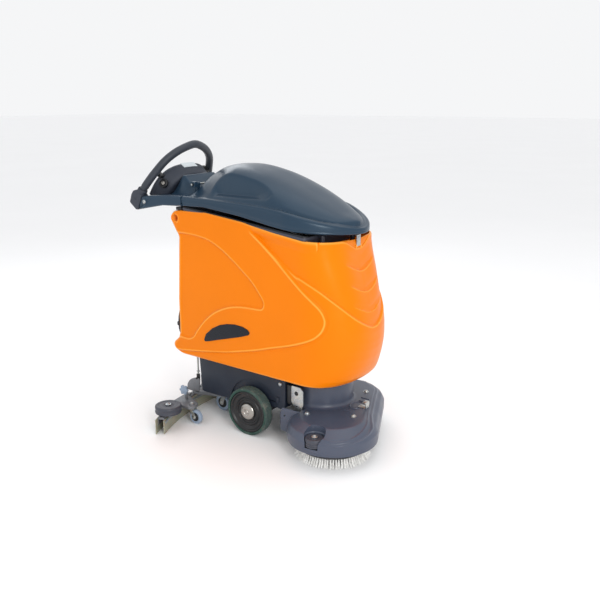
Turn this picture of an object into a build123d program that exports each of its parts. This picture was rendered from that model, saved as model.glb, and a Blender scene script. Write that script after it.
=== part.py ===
from build123d import *
import os
import math

# Walk-behind scrubber drier, millimetres, +X forward, +Z up, floor at z = 0.
# Lengths below are written with x = 0 on the drive axle; SHIFT_X then moves the
# whole machine so that the origin is the middle of its footprint.

# ---------------------------------------------------------------- dimensions
SHIFT_X = 22.5
WHEEL_R = 100.0          # drive tyre radius
TYRE_IN, TYRE_OUT = 156.0, 204.5
SHAFT_R = 9.5
ARCH_R = 126.0
TRAY_Y = 152.0           # half width of the chassis tray
WALL = 5.0               # moulded wall
TANK_Y = 210.0           # half width of the tank
NOSE_X0, NOSE_XA, NOSE_P = 238.0, 479.0, 2.5
LID_Y = 216.0
LID_X0, LID_XA = 215.0, 436.0
HINGE_X, HINGE_Z = -311.0, 995.0      # lid hinge axis
BRUSH_X_R, BRUSH_Y_R = 372.0, -138.0  # right brush axis
BRUSH_X_L, BRUSH_Y_L = 262.0, 138.0   # left brush axis
BRUSH_R = 140.0
SKIRT_R = 177.0
LOOP_X, LOOP_Z = -537.0, 958.0        # foot of the steering loop
LOOP_HALF, LOOP_H, LOOP_BEND, LOOP_R = 201.0, 224.0, 185.0, 16.5
LOOP_TILT = math.radians(57.25)
ARM_IN, ARM_OUT = 178.0, 218.0
CASTOR_X, CASTOR_Y, CASTOR_R, CASTOR_TRAIL = -215.0, 55.6, 37.5, 30.0
SQ_PIVOT_X, SQ_PIVOT_Z = -146.0, 118.0
SWING_X = -345.0
SQ_TIP_X, SQ_TIP_Y, SQ_MID_X = -293.0, 405.0, -385.0
SQ_CASTOR_X, SQ_CASTOR_Y, SQ_CASTOR_R, SQ_TRAIL = -271.0, 232.0, 30.0, 22.0
BUMP_X, BUMP_Y, BUMP_R = -312.6, 330.7, 55.0

os.makedirs("parts", exist_ok=True)


# ---------------------------------------------------------------- helpers
def box(x0, x1, y0, y1, z0, z1):
    return Solid.make_box(x1 - x0, y1 - y0, z1 - z0, Plane((x0, y0, z0)))


def cyl(p, d, r, length):
    return Solid.make_cylinder(r, length, Plane(origin=p, z_dir=d))


def cz(x, y, r, z0, z1):
    return cyl((x, y, z0), (0, 0, 1), r, z1 - z0)


def cy(x, z, r, y0, y1):
    return cyl((x, y0, z), (0, 1, 0), r, y1 - y0)


def cx(y, z, r, x0, x1):
    return cyl((x0, y, z), (1, 0, 0), r, x1 - x0)


def poly_face(pts):
    return Face(Wire.make_polygon([Vector(*p) for p in pts], close=True))


def prism_xz(pts, y0, y1):
    return Solid.extrude(poly_face([(x, y0, z) for x, z in pts]), Vector(0, y1 - y0, 0))


def prism_xy(pts, z0, z1):
    return Solid.extrude(poly_face([(x, y, z0) for x, y in pts]), Vector(0, 0, z1 - z0))


def prism_yz(pts, x0, x1):
    return Solid.extrude(poly_face([(x0, y, z) for y, z in pts]), Vector(x1 - x0, 0, 0))


def both(s):
    # the solid and its mirror image across the centre plane
    return s, s.mirror(Plane.XZ)


def fuse(*parts):
    out = parts[0]
    for p in parts[1:]:
        out = out + p
    return out


def torus_z(x, y, z, major, minor):
    return Solid.make_torus(major, minor, Plane(origin=(x, y, z), z_dir=(0, 0, 1)))


def turned(pts, axis_origin, axis_dir):
    # solid of revolution: pts are (radius, height along the axis)
    w = Wire.make_polygon([Vector(r, 0, h) for r, h in pts], close=True)
    s = Solid.revolve(Face(w), 360, Axis.Z)
    return Plane(origin=axis_origin, z_dir=axis_dir).location * s


def nose_plan(half, x0, xa, p, x_rear, n=18):
    pts = [(x_rear, -half)]
    for i in range(n + 1):
        a = -math.pi / 2 + math.pi * i / n
        c, s = math.cos(a), math.sin(a)
        y = half * math.copysign(abs(s) ** (2 / p), s)
        x = x0 + (xa - x0) * abs(c) ** (2 / p)
        pts.append((x, y))
    pts.append((x_rear, half))
    return pts


NODES = {}


def node(name, *solids):
    flat = []
    for s in solids:
        if hasattr(s, "solids"):
            flat += list(s.solids())
        else:
            flat.append(s)
    NODES[name] = flat


# ---------------------------------------------------------------- chassis tray
def tank_bottom(x):
    return 291.0 - 0.0212 * (x + 247.0)


tray_outline = [(-296, tank_bottom(-296) - 0.5), (-283, 112), (-144, 111), (107, 128), (147, 128),
                (157, 138), (157, tank_bottom(157) - 1.5)]
tray = prism_xz(tray_outline, -TRAY_Y, TRAY_Y)
tray = tray - prism_xz([(-291, 300), (-284, 154), (152, 154), (152, 300)], -147, 147)
tray = tray - prism_xz([(-280, 150), (-278, 100), (150, 100), (150, 150)], -147, 147)
for sgn in (-1, 1):
    y_in, y_out = 134.0, TRAY_Y
    disc = cy(0, WHEEL_R, ARCH_R + 4, min(sgn * y_in, sgn * y_out), max(sgn * y_in, sgn * y_out))
    disc = disc & prism_xz(tray_outline, -TRAY_Y, TRAY_Y)
    tray = tray + disc
    tray = tray - cy(0, WHEEL_R, ARCH_R, min(sgn * 138, sgn * 160), max(sgn * 138, sgn * 160))
# notches in the rear wall for the two squeegee arms
for sgn in (-1, 1):
    tray = tray - box(-300, -270, min(sgn * 121, sgn * 147), max(sgn * 121, sgn * 147), 100, 149)
# castor bearing housings and squeegee pivot lugs under the floor
for sgn in (-1, 1):
    tray = tray + (cz(CASTOR_X, sgn * CASTOR_Y, 22, 128, 151) - cz(CASTOR_X, sgn * CASTOR_Y, 10.05, 120, 148))
    lug = prism_xz([(-162, 151), (-158, 106), (-134, 106), (-126, 151)], 108, 124)
    lug = lug - cy(SQ_PIVOT_X, SQ_PIVOT_Z, 5.0, 100, 130)
    tray = tray + (lug if sgn > 0 else lug.mirror(Plane.XZ))
# bores for the side screws
for sgn in (-1, 1):
    tray = tray - cy(133, 234, 4.0, min(sgn * 140, sgn * 160), max(sgn * 140, sgn * 160))
node("chassis_tray", tray)

# ---------------------------------------------------------------- batteries
bats = []
for x0 in (-275.0, -100.0):
    b = box(x0, x0 + 168, -130, 130, 154.2, 350)
    lid_b = box(x0 + 4, x0 + 164, -126, 126, 350, 356)
    b = b + lid_b
    for yy in (-95, 95):
        b = b + cz(x0 + 84, yy, 9, 356, 367)
    for k in range(5):
        b = b - box(x0 - 1, x0 + 2, -112 + 50 * k, -84 + 50 * k, 175, 330)
    bats.append(b)
node("batteries", *bats)

# ---------------------------------------------------------------- drive unit
trans = cy(0, WHEEL_R, 42, -118, 118) - cy(0, WHEEL_R, SHAFT_R + 0.05, -130, -40) \
    - cy(0, WHEEL_R, SHAFT_R + 0.05, 40, 130)
trans = trans + box(-34, 34, -70, 70, 130, 149.8)
trans = trans + cx(0, WHEEL_R, 36, -138, -30)
trans = trans - cx(0, WHEEL_R, 14, -139, -136)
trans = trans - cy(0, WHEEL_R, SHAFT_R + 0.05, -130, -40) - cy(0, WHEEL_R, SHAFT_R + 0.05, 40, 130)
node("transaxle", trans)


def wheel(side):
    s = -1 if side == "right" else 1
    d = (0, s, 0)
    o = (0, 0, WHEEL_R)
    # tyre: crowned tread, open where it grips the rim
    tyre = turned([(78, TYRE_IN + 4), (94, TYRE_IN), (98.5, TYRE_IN + 5), (WHEEL_R, TYRE_IN + 14),
                   (WHEEL_R, TYRE_OUT - 14), (98.5, TYRE_OUT - 5), (93, TYRE_OUT), (82, TYRE_OUT - 1),
                   (78, TYRE_OUT - 4)], o, d)
    rim = turned([(32.5, TYRE_IN + 14), (78, TYRE_IN + 4), (78, TYRE_OUT - 4), (72, TYRE_OUT - 3),
                  (68, TYRE_OUT - 9), (60, TYRE_OUT - 14), (52, TYRE_OUT - 9), (46, TYRE_OUT - 15),
                  (36, TYRE_OUT - 16), (32.5, TYRE_OUT - 14)], o, d)
    hub = turned([(0, 60), (SHAFT_R, 60), (SHAFT_R, TYRE_IN + 10), (32.5, TYRE_IN + 14), (32.5, TYRE_OUT - 10),
                  (34, TYRE_OUT - 8), (32, TYRE_OUT - 3), (24, TYRE_OUT), (8, TYRE_OUT + 1), (0, TYRE_OUT + 1)], o, d)
    hub = hub - cyl((0, s * (TYRE_OUT - 3), WHEEL_R), d, 5, 10)
    node("tyre_" + side, tyre)
    node("rim_" + side, rim)
    node("hub_" + side, hub)


wheel("right")
wheel("left")

# ---------------------------------------------------------------- electronics and water pump
ctrl = box(84, 146, -122, -14, 154.2, 236)
for k in range(8):
    ctrl = ctrl - box(86 + 7.5 * k, 90 + 7.5 * k, -118, -18, 228, 240)
ctrl = ctrl - box(83, 87, -100, -36, 168, 190)
node("controller", ctrl)
pump = cy(112, 186, 26, 14, 96) + cy(112, 186, 30, 96, 118)
pump = pump + box(92, 132, 24, 90, 154.2, 170)
pump = pump + cz(104, 107, 7, 205, 240) + cz(122, 107, 7, 205, 240)
pump = pump - cz(104, 107, 4, 222, 241) - cz(122, 107, 4, 222, 241)
node("solution_pump", pump)

# ---------------------------------------------------------------- rear castors
def castor_fork(cx0, y, top, trail, r, wheel_half, pin_r, plate_r, stem_r, stem_top, bottom_z):
    # swivel plate, stem, two cheeks and the wheel pin, as one riveted fork
    ax = cx0 + trail
    f = cz(cx0, y, plate_r, top - 5, top)
    f = f + cz(cx0, y, stem_r, top - 1, stem_top)
    for s in (-1, 1):
        a, b = sorted((y + s * (wheel_half + 1.5), y + s * (wheel_half + 4.5)))
        x_lo, x_hi = cx0 - 0.55 * plate_r, cx0 + 0.55 * plate_r
        dx = 9.0
        ch = prism_xz([(x_lo, top - 3), (x_hi, top - 3), (ax + dx, bottom_z + 4), (ax + dx * 0.6, bottom_z - 8),
                       (ax - dx * 0.6, bottom_z - 8), (ax - dx, bottom_z + 4)], a, b)
        f = f + ch
    f = f + cy(ax, bottom_z, pin_r, y - wheel_half - 7, y + wheel_half + 7)
    return f


def castor_wheel(ax, y, r, half, bore):
    return turned([(bore, -half), (r * 0.45, -half), (r * 0.5, -half + 2), (r * 0.72, -half + 2), (r * 0.8, -half),
                   (r * 0.93, -half + 1), (r, -half + 5), (r, half - 5), (r * 0.93, half - 1), (r * 0.8, half),
                   (r * 0.72, half - 2), (r * 0.5, half - 2), (r * 0.45, half), (bore, half)], (ax, y, r), (0, 1, 0))


for side, s in (("right", -1), ("left", 1)):
    f = castor_fork(CASTOR_X, s * CASTOR_Y, 127.5, -CASTOR_TRAIL, CASTOR_R, 12, 4.0, 24, 10.0, 147.5, CASTOR_R)
    # a raceway lifts the cheeks' top clear of the wheel
    node("rear_castor_fork_" + side, f)
    node("rear_castor_wheel_" + side, castor_wheel(CASTOR_X - CASTOR_TRAIL, s * CASTOR_Y, CASTOR_R, 12, 4.05))

# ---------------------------------------------------------------- solution tank
tank_side = [(-247, 291), (83, 284), (239, 279), (300, 281), (356, 288), (396, 299), (428, 318), (450, 345),
             (466, 380), (476, 420), (479, 450), (477, 490), (468, 545), (451, 600), (432, 655), (415, 710),
             (402, 760), (402, 826), (286, 831), (135, 854), (-7, 879), (-182, 899), (-290, 897), (-318, 893),
             (-334, 880), (-338, 862), (-336, 800), (-338, 740), (-354, 520), (-353, 400), (-356, 350),
             (-377, 318), (-362, 300), (-338, 294)]
tank_plan = nose_plan(TANK_Y, NOSE_X0, NOSE_XA, NOSE_P, -400)
outer = prism_xz(tank_side, -TANK_Y, TANK_Y) & prism_xy(tank_plan, 200, 950)
inner_side = [(-247, 296), (83, 289), (239, 284), (300, 286), (354, 293), (393, 304), (424, 322), (445, 348),
              (461, 382), (471, 421), (474, 450), (472, 489), (463, 544), (446, 599), (427, 654), (410, 709),
              (397, 760), (397, 784), (290, 784), (290, 960), (-313, 960), (-331, 800), (-333, 740), (-349, 520),
              (-348, 400), (-350, 350), (-356, 326), (-346, 299)]
inner = prism_xz(inner_side, -TANK_Y + WALL, TANK_Y - WALL) & \
    prism_xy(nose_plan(TANK_Y - WALL, NOSE_X0, NOSE_XA - WALL, NOSE_P, -399), 210, 990)
tank = outer - inner
# filler well in the nose, above the deck at z 784 to 789
well = prism_xz([(290, 789), (397, 789), (397, 960), (290, 960)], -TANK_Y + 12, TANK_Y - 12) & \
    prism_xy(nose_plan(TANK_Y - WALL, NOSE_X0, 397.5, NOSE_P, -399), 300, 990)
tank = tank - well
# battery well, open below
tank = tank + (box(-300, 137, -151, 151, 284, 377) & outer)
tank = tank - box(-296, 132, -146, 146, 270, 372)
# recess above the deck motor cover, open below
tank = tank + (cz(235, 0, 143, 279, 333) & outer)
tank = tank - cz(235, 0, 138, 270, 328)
tank = tank - box(-296, 132, -146, 146, 270, 372)
# hose recess in the rear wall
tank = tank + (prism_xz([(-380, 294), (-310, 294), (-310, 893), (-380, 893)], -150, 150) & outer)
tank = tank - prism_xz([(-390, 280), (-315, 280), (-315, 780), (-345, 820), (-390, 830)], -145, 145)
tank = tank - box(-296, 132, -146, 146, 270, 372)
# lifting eyes at the top rear corners, with a through bore
# the eyes are blocks let into the corners, and a groove behind them takes the end of the bar
eyes = []
for s in (-1, 1):
    a, b = sorted((s * 176, s * TANK_Y))
    eye = cy(-345, 865, 30, a, b) + (box(-345, -312, a, b, 834, 896) & outer)
    eye = eye - cy(-345, 865, 15, min(s * 170, s * 220), max(s * 170, s * 220))
    eyes.append(eye)
    a2, b2 = sorted((s * 145, s * 176))
    tank = tank + (box(-345, -318, a2, b2, 838, 892) & outer)
    tank = tank - box(-400, -312, a, b, 834, 896.05)
tank = tank - box(-400, -326, -176, 176, 846, 884)
node("tank_eyes", *eyes)
# filler bore in the nose deck, outlet bore for the recovery hose, float and drain bores
tank = tank - cz(346, 0, 32, 770, 800)
tank = tank - cx(-60, 640, 23, -330, -290) - cx(60, 420, 16.2, -330, -290)
# notch in the nose wall that lets the latch swing out
tank = tank - box(389, 430, -42, 42, 795, 850)
# clevis ears for the latch and the filler lid, on the nose deck
for s in (-1, 1):
    a, b = sorted((s * 14.5, s * 19))
    ear = box(381, 394, a, b, 788, 806) + box(299, 311, a - s * 2, b - s * 2, 788, 801)
    tank = tank + ear
tank = tank - cy(388, 800, 2.5, -25, 25) - cy(305, 796, 2.5, -25, 25)
# the nose collar with the filler deck is a moulding of its own
nose_zone = box(288, 430, -220, 220, 784, 860)
nose = tank & nose_zone
tank = tank - nose_zone
node("solution_tank", tank)
node("tank_nose", nose)

# ---------------------------------------------------------------- recovery tank, a tub that hangs in the solution tank
rim_pts = [(-312, 897.3), (-182, 899.4), (-7, 879.4), (135, 854.4), (288, 831.2), (288, 845), (135, 868),
           (-7, 892), (-182, 912), (-312, 910)]
rim_slab = prism_xz(rim_pts, -208, 208)
tub_out = prism_xz([(-306, 905), (-306, 600), (-270, 560), (200, 540), (240, 600), (282, 850)], -190, 190)
tub_out = tub_out & prism_xz([(-400, 909), (-400, 500), (400, 500), (400, 828), (135, 866), (-7, 890), (-182, 910)], -200, 200)
tub_in = prism_xz([(-301, 960), (-301, 602), (-268, 565), (197, 545), (235, 602), (277, 960)], -185, 185)
rtank = (rim_slab + tub_out) - tub_in
rtank = rtank - cx(-60, 640, 23, -330, -290)
# post that guides the float, with a stop collar and a top pin
rtank = rtank + cz(30, 0, 4, 548, 780) + cz(30, 0, 9, 548, 569) + cz(30, 0, 9, 775, 780)
# two short rest posts in front of the tub carry the nose of the lid
for s in (-1, 1):
    rtank = rtank + (cz(300, s * 110, 9, 789.2, 845) + box(282, 300, s * 110 - 9, s * 110 + 9, 835, 845))
node("recovery_tank", rtank)

gasket = prism_xz([(-312, 910.2), (-182, 912.2), (-7, 892.2), (135, 868.2), (288, 845.2), (288, 849),
                   (135, 872), (-7, 896), (-182, 916), (-312, 914)], -206, 206) - prism_xz(
    [(-298, 990), (-298, 700), (270, 700), (270, 990)], -188, 188)
node("tank_gasket", gasket)

# suction motor in its housing, on the front wall of the tub
motor = cz(160, 0, 60, 690, 800) + cz(160, 0, 68, 800, 828)
motor = motor + box(205, 246, -40, 40, 700, 760)
motor = motor - cz(160, 0, 20, 815, 840)
node("suction_motor", motor)

# float ball, resting on the post's collar
ballf = Solid.make_sphere(30, Plane((30, 0, 599.6))) - cz(30, 0, 4.6, 560, 640)
node("float_ball", ballf)

# blank badge lenses, one each side
badge_xz = [(-220, 371), (-203, 405), (-125, 449), (-70, 452), (-14, 430), (-12, 414), (-130, 380)]
b1 = prism_xz(badge_xz, -212.5, -TANK_Y)
node("badge_plates", *both(b1))

# filler lid in the nose
fcap = cz(346, 0, 36, 789.3, 797) + box(305, 320, -12, 12, 791, 797) + cy(305, 796, 4.5, -12, 12)
fcap = fcap + cz(346, 0, 29, 781, 790)
fcap = fcap - cz(346, 0, 25, 780, 793)
fcap = fcap - cy(305, 796, 2.55, -16, 16)
fcap = fcap - box(300, 316, -40, -12, 785, 800) - box(300, 316, 12, 40, 785, 800)
node("filler_cap", fcap)

# ---------------------------------------------------------------- hoses on the rear
SUCTION = [(-392, 0, 118), (-392, 0, 205), (-402, -60, 290), (-412, -118, 345), (-412, -118, 430),
           (-372, -78, 560), (-352, -60, 640), (-300, -60, 640)]
DRAIN = [(-300, 60, 420), (-345, 60, 420), (-352, 60, 520), (-352, 84, 640), (-352, 104, 760)]


def hose(points, radii, r_out):
    path = FilletPolyline(*[Vector(*p) for p in points], radius=radii)
    w = path.wire()
    start = Plane(origin=w @ 0, z_dir=w % 0)
    outer_s = sweep(Face(Wire.make_circle(r_out, start)), path=w)
    return outer_s


def bend_radii(points):
    out = []
    for i in range(1, len(points) - 1):
        a = Vector(*points[i]) - Vector(*points[i - 1])
        b = Vector(*points[i + 1]) - Vector(*points[i])
        ang = math.radians(a.get_angle(b))
        out.append(0.45 * min(a.length, b.length) / math.tan(ang / 2))
    return out


for nm, pts, r in (("suction_hose", SUCTION, 21.0), ("drain_hose", DRAIN, 16.0)):
    rad = bend_radii(pts)
    print(nm, "bend radii", [round(v) for v in rad])
    h = hose(pts, rad, r)
    node(nm, h)

# ---------------------------------------------------------------- handle frame
arm_pts = [(-547, 884), (-522, 941), (-464, 952), (-399, 962), (-365, 965), (-303, 966), (-303, 913),
           (-325, 911), (-408, 911), (-467, 900)]
frame = None
for s in (-1, 1):
    a, b = sorted((s * ARM_IN, s * ARM_OUT))
    arm = prism_xz(arm_pts, a, b)
    frame = arm if frame is None else frame + arm
base = prism_xz([(-470, 914), (-480, 945), (-303, 962), (-303, 914)], -180, 180)
base = base - box(-462, -308, -170, 170, 900, 946)
frame = frame + base
column = prism_xz([(-455, 940), (-402, 1026), (-380, 1016), (-352, 988), (-325, 976), (-303, 972), (-303, 940)], -125, 125)
column = column & prism_yz([(-125, 900), (-125, 960), (-92, 1030), (92, 1030), (125, 960), (125, 900)], -500, -300)
frame = frame + column
frame = frame - box(-455, -308, -105, 105, 890, 952)
# knuckles for the lid hinge and the pockets the lid's own knuckles turn in
for s in (-1, 1):
    a, b = sorted((s * 96, s * 116))
    frame = frame + (cy(HINGE_X, HINGE_Z, 9, a, b) + box(-320, -303, a, b, 955, 995))
    a2, b2 = sorted((s * 116.5, s * 141.5))
    frame = frame - box(-332, -302, a2, b2, 968, 1030)
frame = frame - cy(HINGE_X, HINGE_Z, 4.0, -150, 150)
frame = frame - box(-316, -300, -230, 230, 880, 917.5)

LD = Vector(math.cos(LOOP_TILT), 0, math.sin(LOOP_TILT))   # up along the loop
LN = Vector(math.sin(LOOP_TILT), 0, -math.cos(LOOP_TILT))  # forward, square to the loop's plane
LO = Vector(LOOP_X, 0, LOOP_Z)


def lp(s, t, off=0.0):
    return LO + Vector(0, s, 0) + LD * t + LN * off


# steering loop: an inverted U of padded tube
leg = Edge.make_line(lp(-LOOP_HALF, -26), lp(-LOOP_HALF, LOOP_H - LOOP_BEND))
k = LOOP_BEND * math.cos(math.radians(45))
arc1 = Edge.make_three_point_arc(lp(-LOOP_HALF, LOOP_H - LOOP_BEND),
                                 lp(-LOOP_HALF + LOOP_BEND - k, LOOP_H - LOOP_BEND + k),
                                 lp(-LOOP_HALF + LOOP_BEND, LOOP_H))
top = Edge.make_line(lp(-LOOP_HALF + LOOP_BEND, LOOP_H), lp(LOOP_HALF - LOOP_BEND, LOOP_H))
arc2 = Edge.make_three_point_arc(lp(LOOP_HALF - LOOP_BEND, LOOP_H),
                                 lp(LOOP_HALF - LOOP_BEND + k, LOOP_H - LOOP_BEND + k),
                                 lp(LOOP_HALF, LOOP_H - LOOP_BEND))
leg2 = Edge.make_line(lp(LOOP_HALF, LOOP_H - LOOP_BEND), lp(LOOP_HALF, -26))
loop_path = Wire([leg, arc1, top, arc2, leg2])
loop_s = sweep(Face(Wire.make_circle(LOOP_R, Plane(origin=lp(-LOOP_HALF, -26), z_dir=LD))), path=loop_path)
node("handle_loop", loop_s)

caps = []
for s in (-1, 1):
    a, b = sorted((s * (ARM_IN - 2), s * (ARM_OUT + 2)))
    cap = prism_xz([(-594, 912), (-582, 946), (-570, 962), (-545, 968), (-523, 942), (-548, 883), (-560, 884)], a, b)
    cap = cap - cyl(tuple(lp(s * LOOP_HALF, -26)), tuple(LD), LOOP_R, 60)
    caps.append(cap)
node("handle_end_caps", *caps)

# console housing: a D-shaped slab inside the loop, narrowing forward
def arch(half, height, off, base_t, n=16):
    pts = [lp(-half, base_t, off)]
    for i in range(n + 1):
        a = math.pi * i / n
        c, sn = math.cos(a), math.sin(a)
        s_ = -half * math.copysign(abs(c) ** (2 / 2.6), c)
        t_ = (height) * abs(sn) ** (2 / 2.6)
        pts.append(lp(s_, t_, off))
    pts.append(lp(half, base_t, off))
    return pts


def slab(h0, h1, t0, t1, off0, off1, base_t):
    p0 = arch(h0, t0, off0, base_t)
    p1 = arch(h1, t1, off1, base_t)
    # drop the doubled corner where the base leg meets the arch
    w0 = Wire.make_polygon(p0[1:-1] + [p0[-1]] + [p0[0]], close=True)
    w1 = Wire.make_polygon(p1[1:-1] + [p1[-1]] + [p1[0]], close=True)
    return Solid.make_loft([w0, w1], ruled=True)


console = slab(157, 128, 132, 130, 0, 72, -16)
console = console - slab(150, 120, 126, 124, 4, 66, -12)
console = console - frame
console = Solid(sorted(console.solids(), key=lambda q: -q.volume)[0].wrapped)
PADDLE_T, PADDLE_OFF = 84.0, 16.0
console = console - cyl(tuple(lp(-175, PADDLE_T, PADDLE_OFF)), (0, 1, 0), 5.4, 350)
key_pos = lp(-132, 62, 40)
key_dir = Vector(0, -0.93, 0) + LD * 0.37
key_dir = key_dir.normalized()
console = console - cyl(tuple(key_pos - key_dir * 20), tuple(key_dir), 8.3, 60)
stop_pos = lp(-85, 60, 0)
console = console - cyl(tuple(lp(-85, 60, -5)), tuple(LN), 8.3, 12)
console = Solid(sorted(console.solids(), key=lambda q: -q.volume)[0].wrapped)
node("console_housing", console)

# operator's membrane panel and the blank strip on top
panel_pts = [lp(-50, 24), lp(110, 24), lp(104, 84), lp(60, 112), lp(-40, 112), lp(-50, 96)]
panel = Solid.extrude(Face(Wire.make_polygon(panel_pts, close=True)), LN * -1.6)
strip = Solid.extrude(Face(Wire.make_polygon([lp(-46, 132.2, 6), lp(46, 132.2, 6), lp(46, 130.7, 64),
                                              lp(-46, 130.7, 64)], close=True)), LD * 1.5)
node("display_panel", panel, strip)

key_s = cyl(tuple(key_pos - key_dir * 6), tuple(key_dir), 8.0, 26)
bow_c = key_pos + key_dir * 20
bow = Solid.make_box(16, 3, 20, Plane(origin=tuple(bow_c - LN * 8 - Vector(0, 0, 0)), x_dir=tuple(LN), z_dir=tuple(key_dir)))
key_s = key_s + bow
node("ignition_key", key_s)

stop_s = cyl(tuple(lp(-85, 60, 5)), tuple(LN * -1), 8.0, 14) + cyl(tuple(lp(-85, 60, -7.4)), tuple(LN * -1), 16, 10)
node("stop_button", stop_s)

# drive paddles on one cross shaft
pad = cyl(tuple(lp(-172, PADDLE_T, PADDLE_OFF)), (0, 1, 0), 5.0, 344)
for s in (-1, 1):
    y0 = s * 146 if s > 0 else s * 172
    pts = [lp(0, PADDLE_T + 7, PADDLE_OFF + 7), lp(0, PADDLE_T - 7, PADDLE_OFF + 7), lp(0, PADDLE_T - 9, PADDLE_OFF - 34),
           lp(0, PADDLE_T + 9, PADDLE_OFF - 34)]
    face = Face(Wire.make_polygon([p + Vector(0, y0, 0) for p in pts], close=True))
    pad = pad + Solid.extrude(face, Vector(0, 26, 0))
node("drive_paddles", pad)

# rubber mounts between handle frame and tank
mounts_s = []
for s in (-1, 1):
    a, b = sorted((s * 150, s * 204))
    m = prism_xz([(-336, 910.5), (-315, 910.8), (-313.5, 897.6), (-330, 896)], a, b)
    m = prism_xz([(-345, 910.3), (-314, 910.3), (-314, 890), (-345, 890)], a, b) - tank
    m = m - rtank
    for eye in eyes:
        m = m - eye
    mounts_s.append(Solid(sorted(m.solids(), key=lambda q: -q.volume)[0].wrapped))
node("handle_mounts", *mounts_s)
node("handle_frame", frame)

# ---------------------------------------------------------------- lid
lid_side = [(-300, 918), (-182, 920), (-7, 900), (135, 876), (288, 853), (434, 846), (436, 866), (428, 884),
            (389, 898), (332, 917), (245, 960), (145, 1007), (32, 1051), (-65, 1073), (-110, 1078), (-153, 1078),
            (-209, 1069), (-255, 1050), (-288, 1030), (-300, 1012)]
dome = [(216, 900), (216, 950), (206, 972), (190, 1000), (170, 1030), (145, 1055), (105, 1071), (55, 1078), (0, 1080)]
dome_pts = [(-y, z) for y, z in dome] + [(y, z) for y, z in reversed(dome[:-1])]
dome_pts = [(-216, 800)] + dome_pts + [(216, 800)]
lid_plan = nose_plan(LID_Y, LID_X0, LID_XA, 2.6, -300)
lid_o = prism_xz(lid_side, -LID_Y - 2, LID_Y + 2) & prism_yz(dome_pts, -320, 460) & prism_xy(lid_plan, 800, 1100)
in_side = [(-295, 880), (429, 800), (430, 864), (424, 879), (387, 892), (330, 911), (243, 954), (143, 1001),
           (31, 1045), (-66, 1067), (-110, 1072), (-152, 1072), (-207, 1063), (-252, 1044), (-283, 1027), (-295, 1010)]
in_dome = [(211, 800), (211, 949), (201, 970), (185, 997), (166, 1026), (142, 1050), (103, 1065), (54, 1072), (0, 1074)]
in_pts = [(-y, z) for y, z in in_dome] + [(y, z) for y, z in reversed(in_dome[:-1])]
lid_i = prism_xz(in_side, -212, 212) & prism_yz(in_pts, -320, 460) & prism_xy(
    nose_plan(LID_Y - 5, LID_X0, LID_XA - 5, 2.6, -296), 700, 1100)
scoop = [(-165, 976), (-158, 1010), (-132, 1040), (-97, 1056), (-41, 1052), (15, 1036), (56, 1010), (98, 978)]
scoop_in = [(-172, 969), (-165, 1014), (-137, 1046), (-98, 1063), (-40, 1059), (18, 1042), (61, 1015), (106, 971)]
for s in (-1, 1):
    a, b = sorted((s * 152, s * 240))
    lid_o = lid_o - prism_xz(scoop, a, b)
    a, b = sorted((s * 147, s * 240))
    lid_i = lid_i - prism_xz(scoop_in, a, b)
lid = lid_o - lid_i
for s in (-1, 1):
    a, b = sorted((s * 117.0, s * 141.0))
    k1 = cy(HINGE_X, HINGE_Z, 12, a, b) + box(-311, -296, a, b, 983, 1007)
    lid = lid + k1
lid = lid - cy(HINGE_X, HINGE_Z, 4.05, -150, 150)
lid = Solid(sorted(lid.solids(), key=lambda q: -q.volume)[0].wrapped)
node("lid_shell", lid)

# front latch: a bent strap on a pin at the tank's nose
latch = box(389, 392, -14, 14, 797, 838) + box(382, 392, -14, 14, 838, 841)
latch = latch + cy(388, 800, 5, -14, 14)
latch = latch - cy(388, 800, 2.55, -20, 20)
node("lid_latch", latch)

# ---------------------------------------------------------------- pins
pins = [cy(HINGE_X, HINGE_Z, 4.0, -141.5, 141.5), cy(388, 800, 2.5, -19, 19), cy(305, 796, 2.5, -17, 17)]
for s in (-1, 1):
    a, b = sorted((s * 108, s * 143))
    pins.append(cy(SQ_PIVOT_X, SQ_PIVOT_Z, 5.0, a, b))

# ---------------------------------------------------------------- scrub deck
deck_pts = []
hull_c = [(BRUSH_X_R, BRUSH_Y_R, SKIRT_R), (BRUSH_X_L, BRUSH_Y_L, SKIRT_R)]


def hull_outline(c, grow, n=40):
    # convex outline round two circles
    pts = []
    for (x, y, r) in c:
        for i in range(n):
            a = 2 * math.pi * i / n
            pts.append((x + (r + grow) * math.cos(a), y + (r + grow) * math.sin(a)))
    pts = sorted(set((round(px_, 4), round(py_, 4)) for px_, py_ in pts))

    def cross(o, a, b):
        return (a[0] - o[0]) * (b[1] - o[1]) - (a[1] - o[1]) * (b[0] - o[0])

    lo, up = [], []
    for p in pts:
        while len(lo) >= 2 and cross(lo[-2], lo[-1], p) <= 0:
            lo.pop()
        lo.append(p)
    for p in reversed(pts):
        while len(up) >= 2 and cross(up[-2], up[-1], p) <= 0:
            up.pop()
        up.append(p)
    return lo[:-1] + up[:-1]


def hull_wire(grow, z, shrink=0.0):
    return Wire.make_polygon([Vector(x, y, z) for x, y in hull_outline(hull_c, grow)], close=True)


skirt_o = Solid.extrude(Face(hull_wire(0, 64)), Vector(0, 0, 46))
shoulder_o = Solid.make_loft([hull_wire(0, 110), hull_wire(-14, 132)], ruled=True)
plateau_o = Solid.make_loft([hull_wire(-14, 132), hull_wire(-52, 155)], ruled=True)
deck = skirt_o + shoulder_o + plateau_o
deck_in = Solid.extrude(Face(hull_wire(-5, 60)), Vector(0, 0, 50)) + \
    Solid.make_loft([hull_wire(-5, 110), hull_wire(-19, 130)], ruled=True) + \
    Solid.make_loft([hull_wire(-19, 130), hull_wire(-55, 150)], ruled=True)
deck = deck - deck_in
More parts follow.
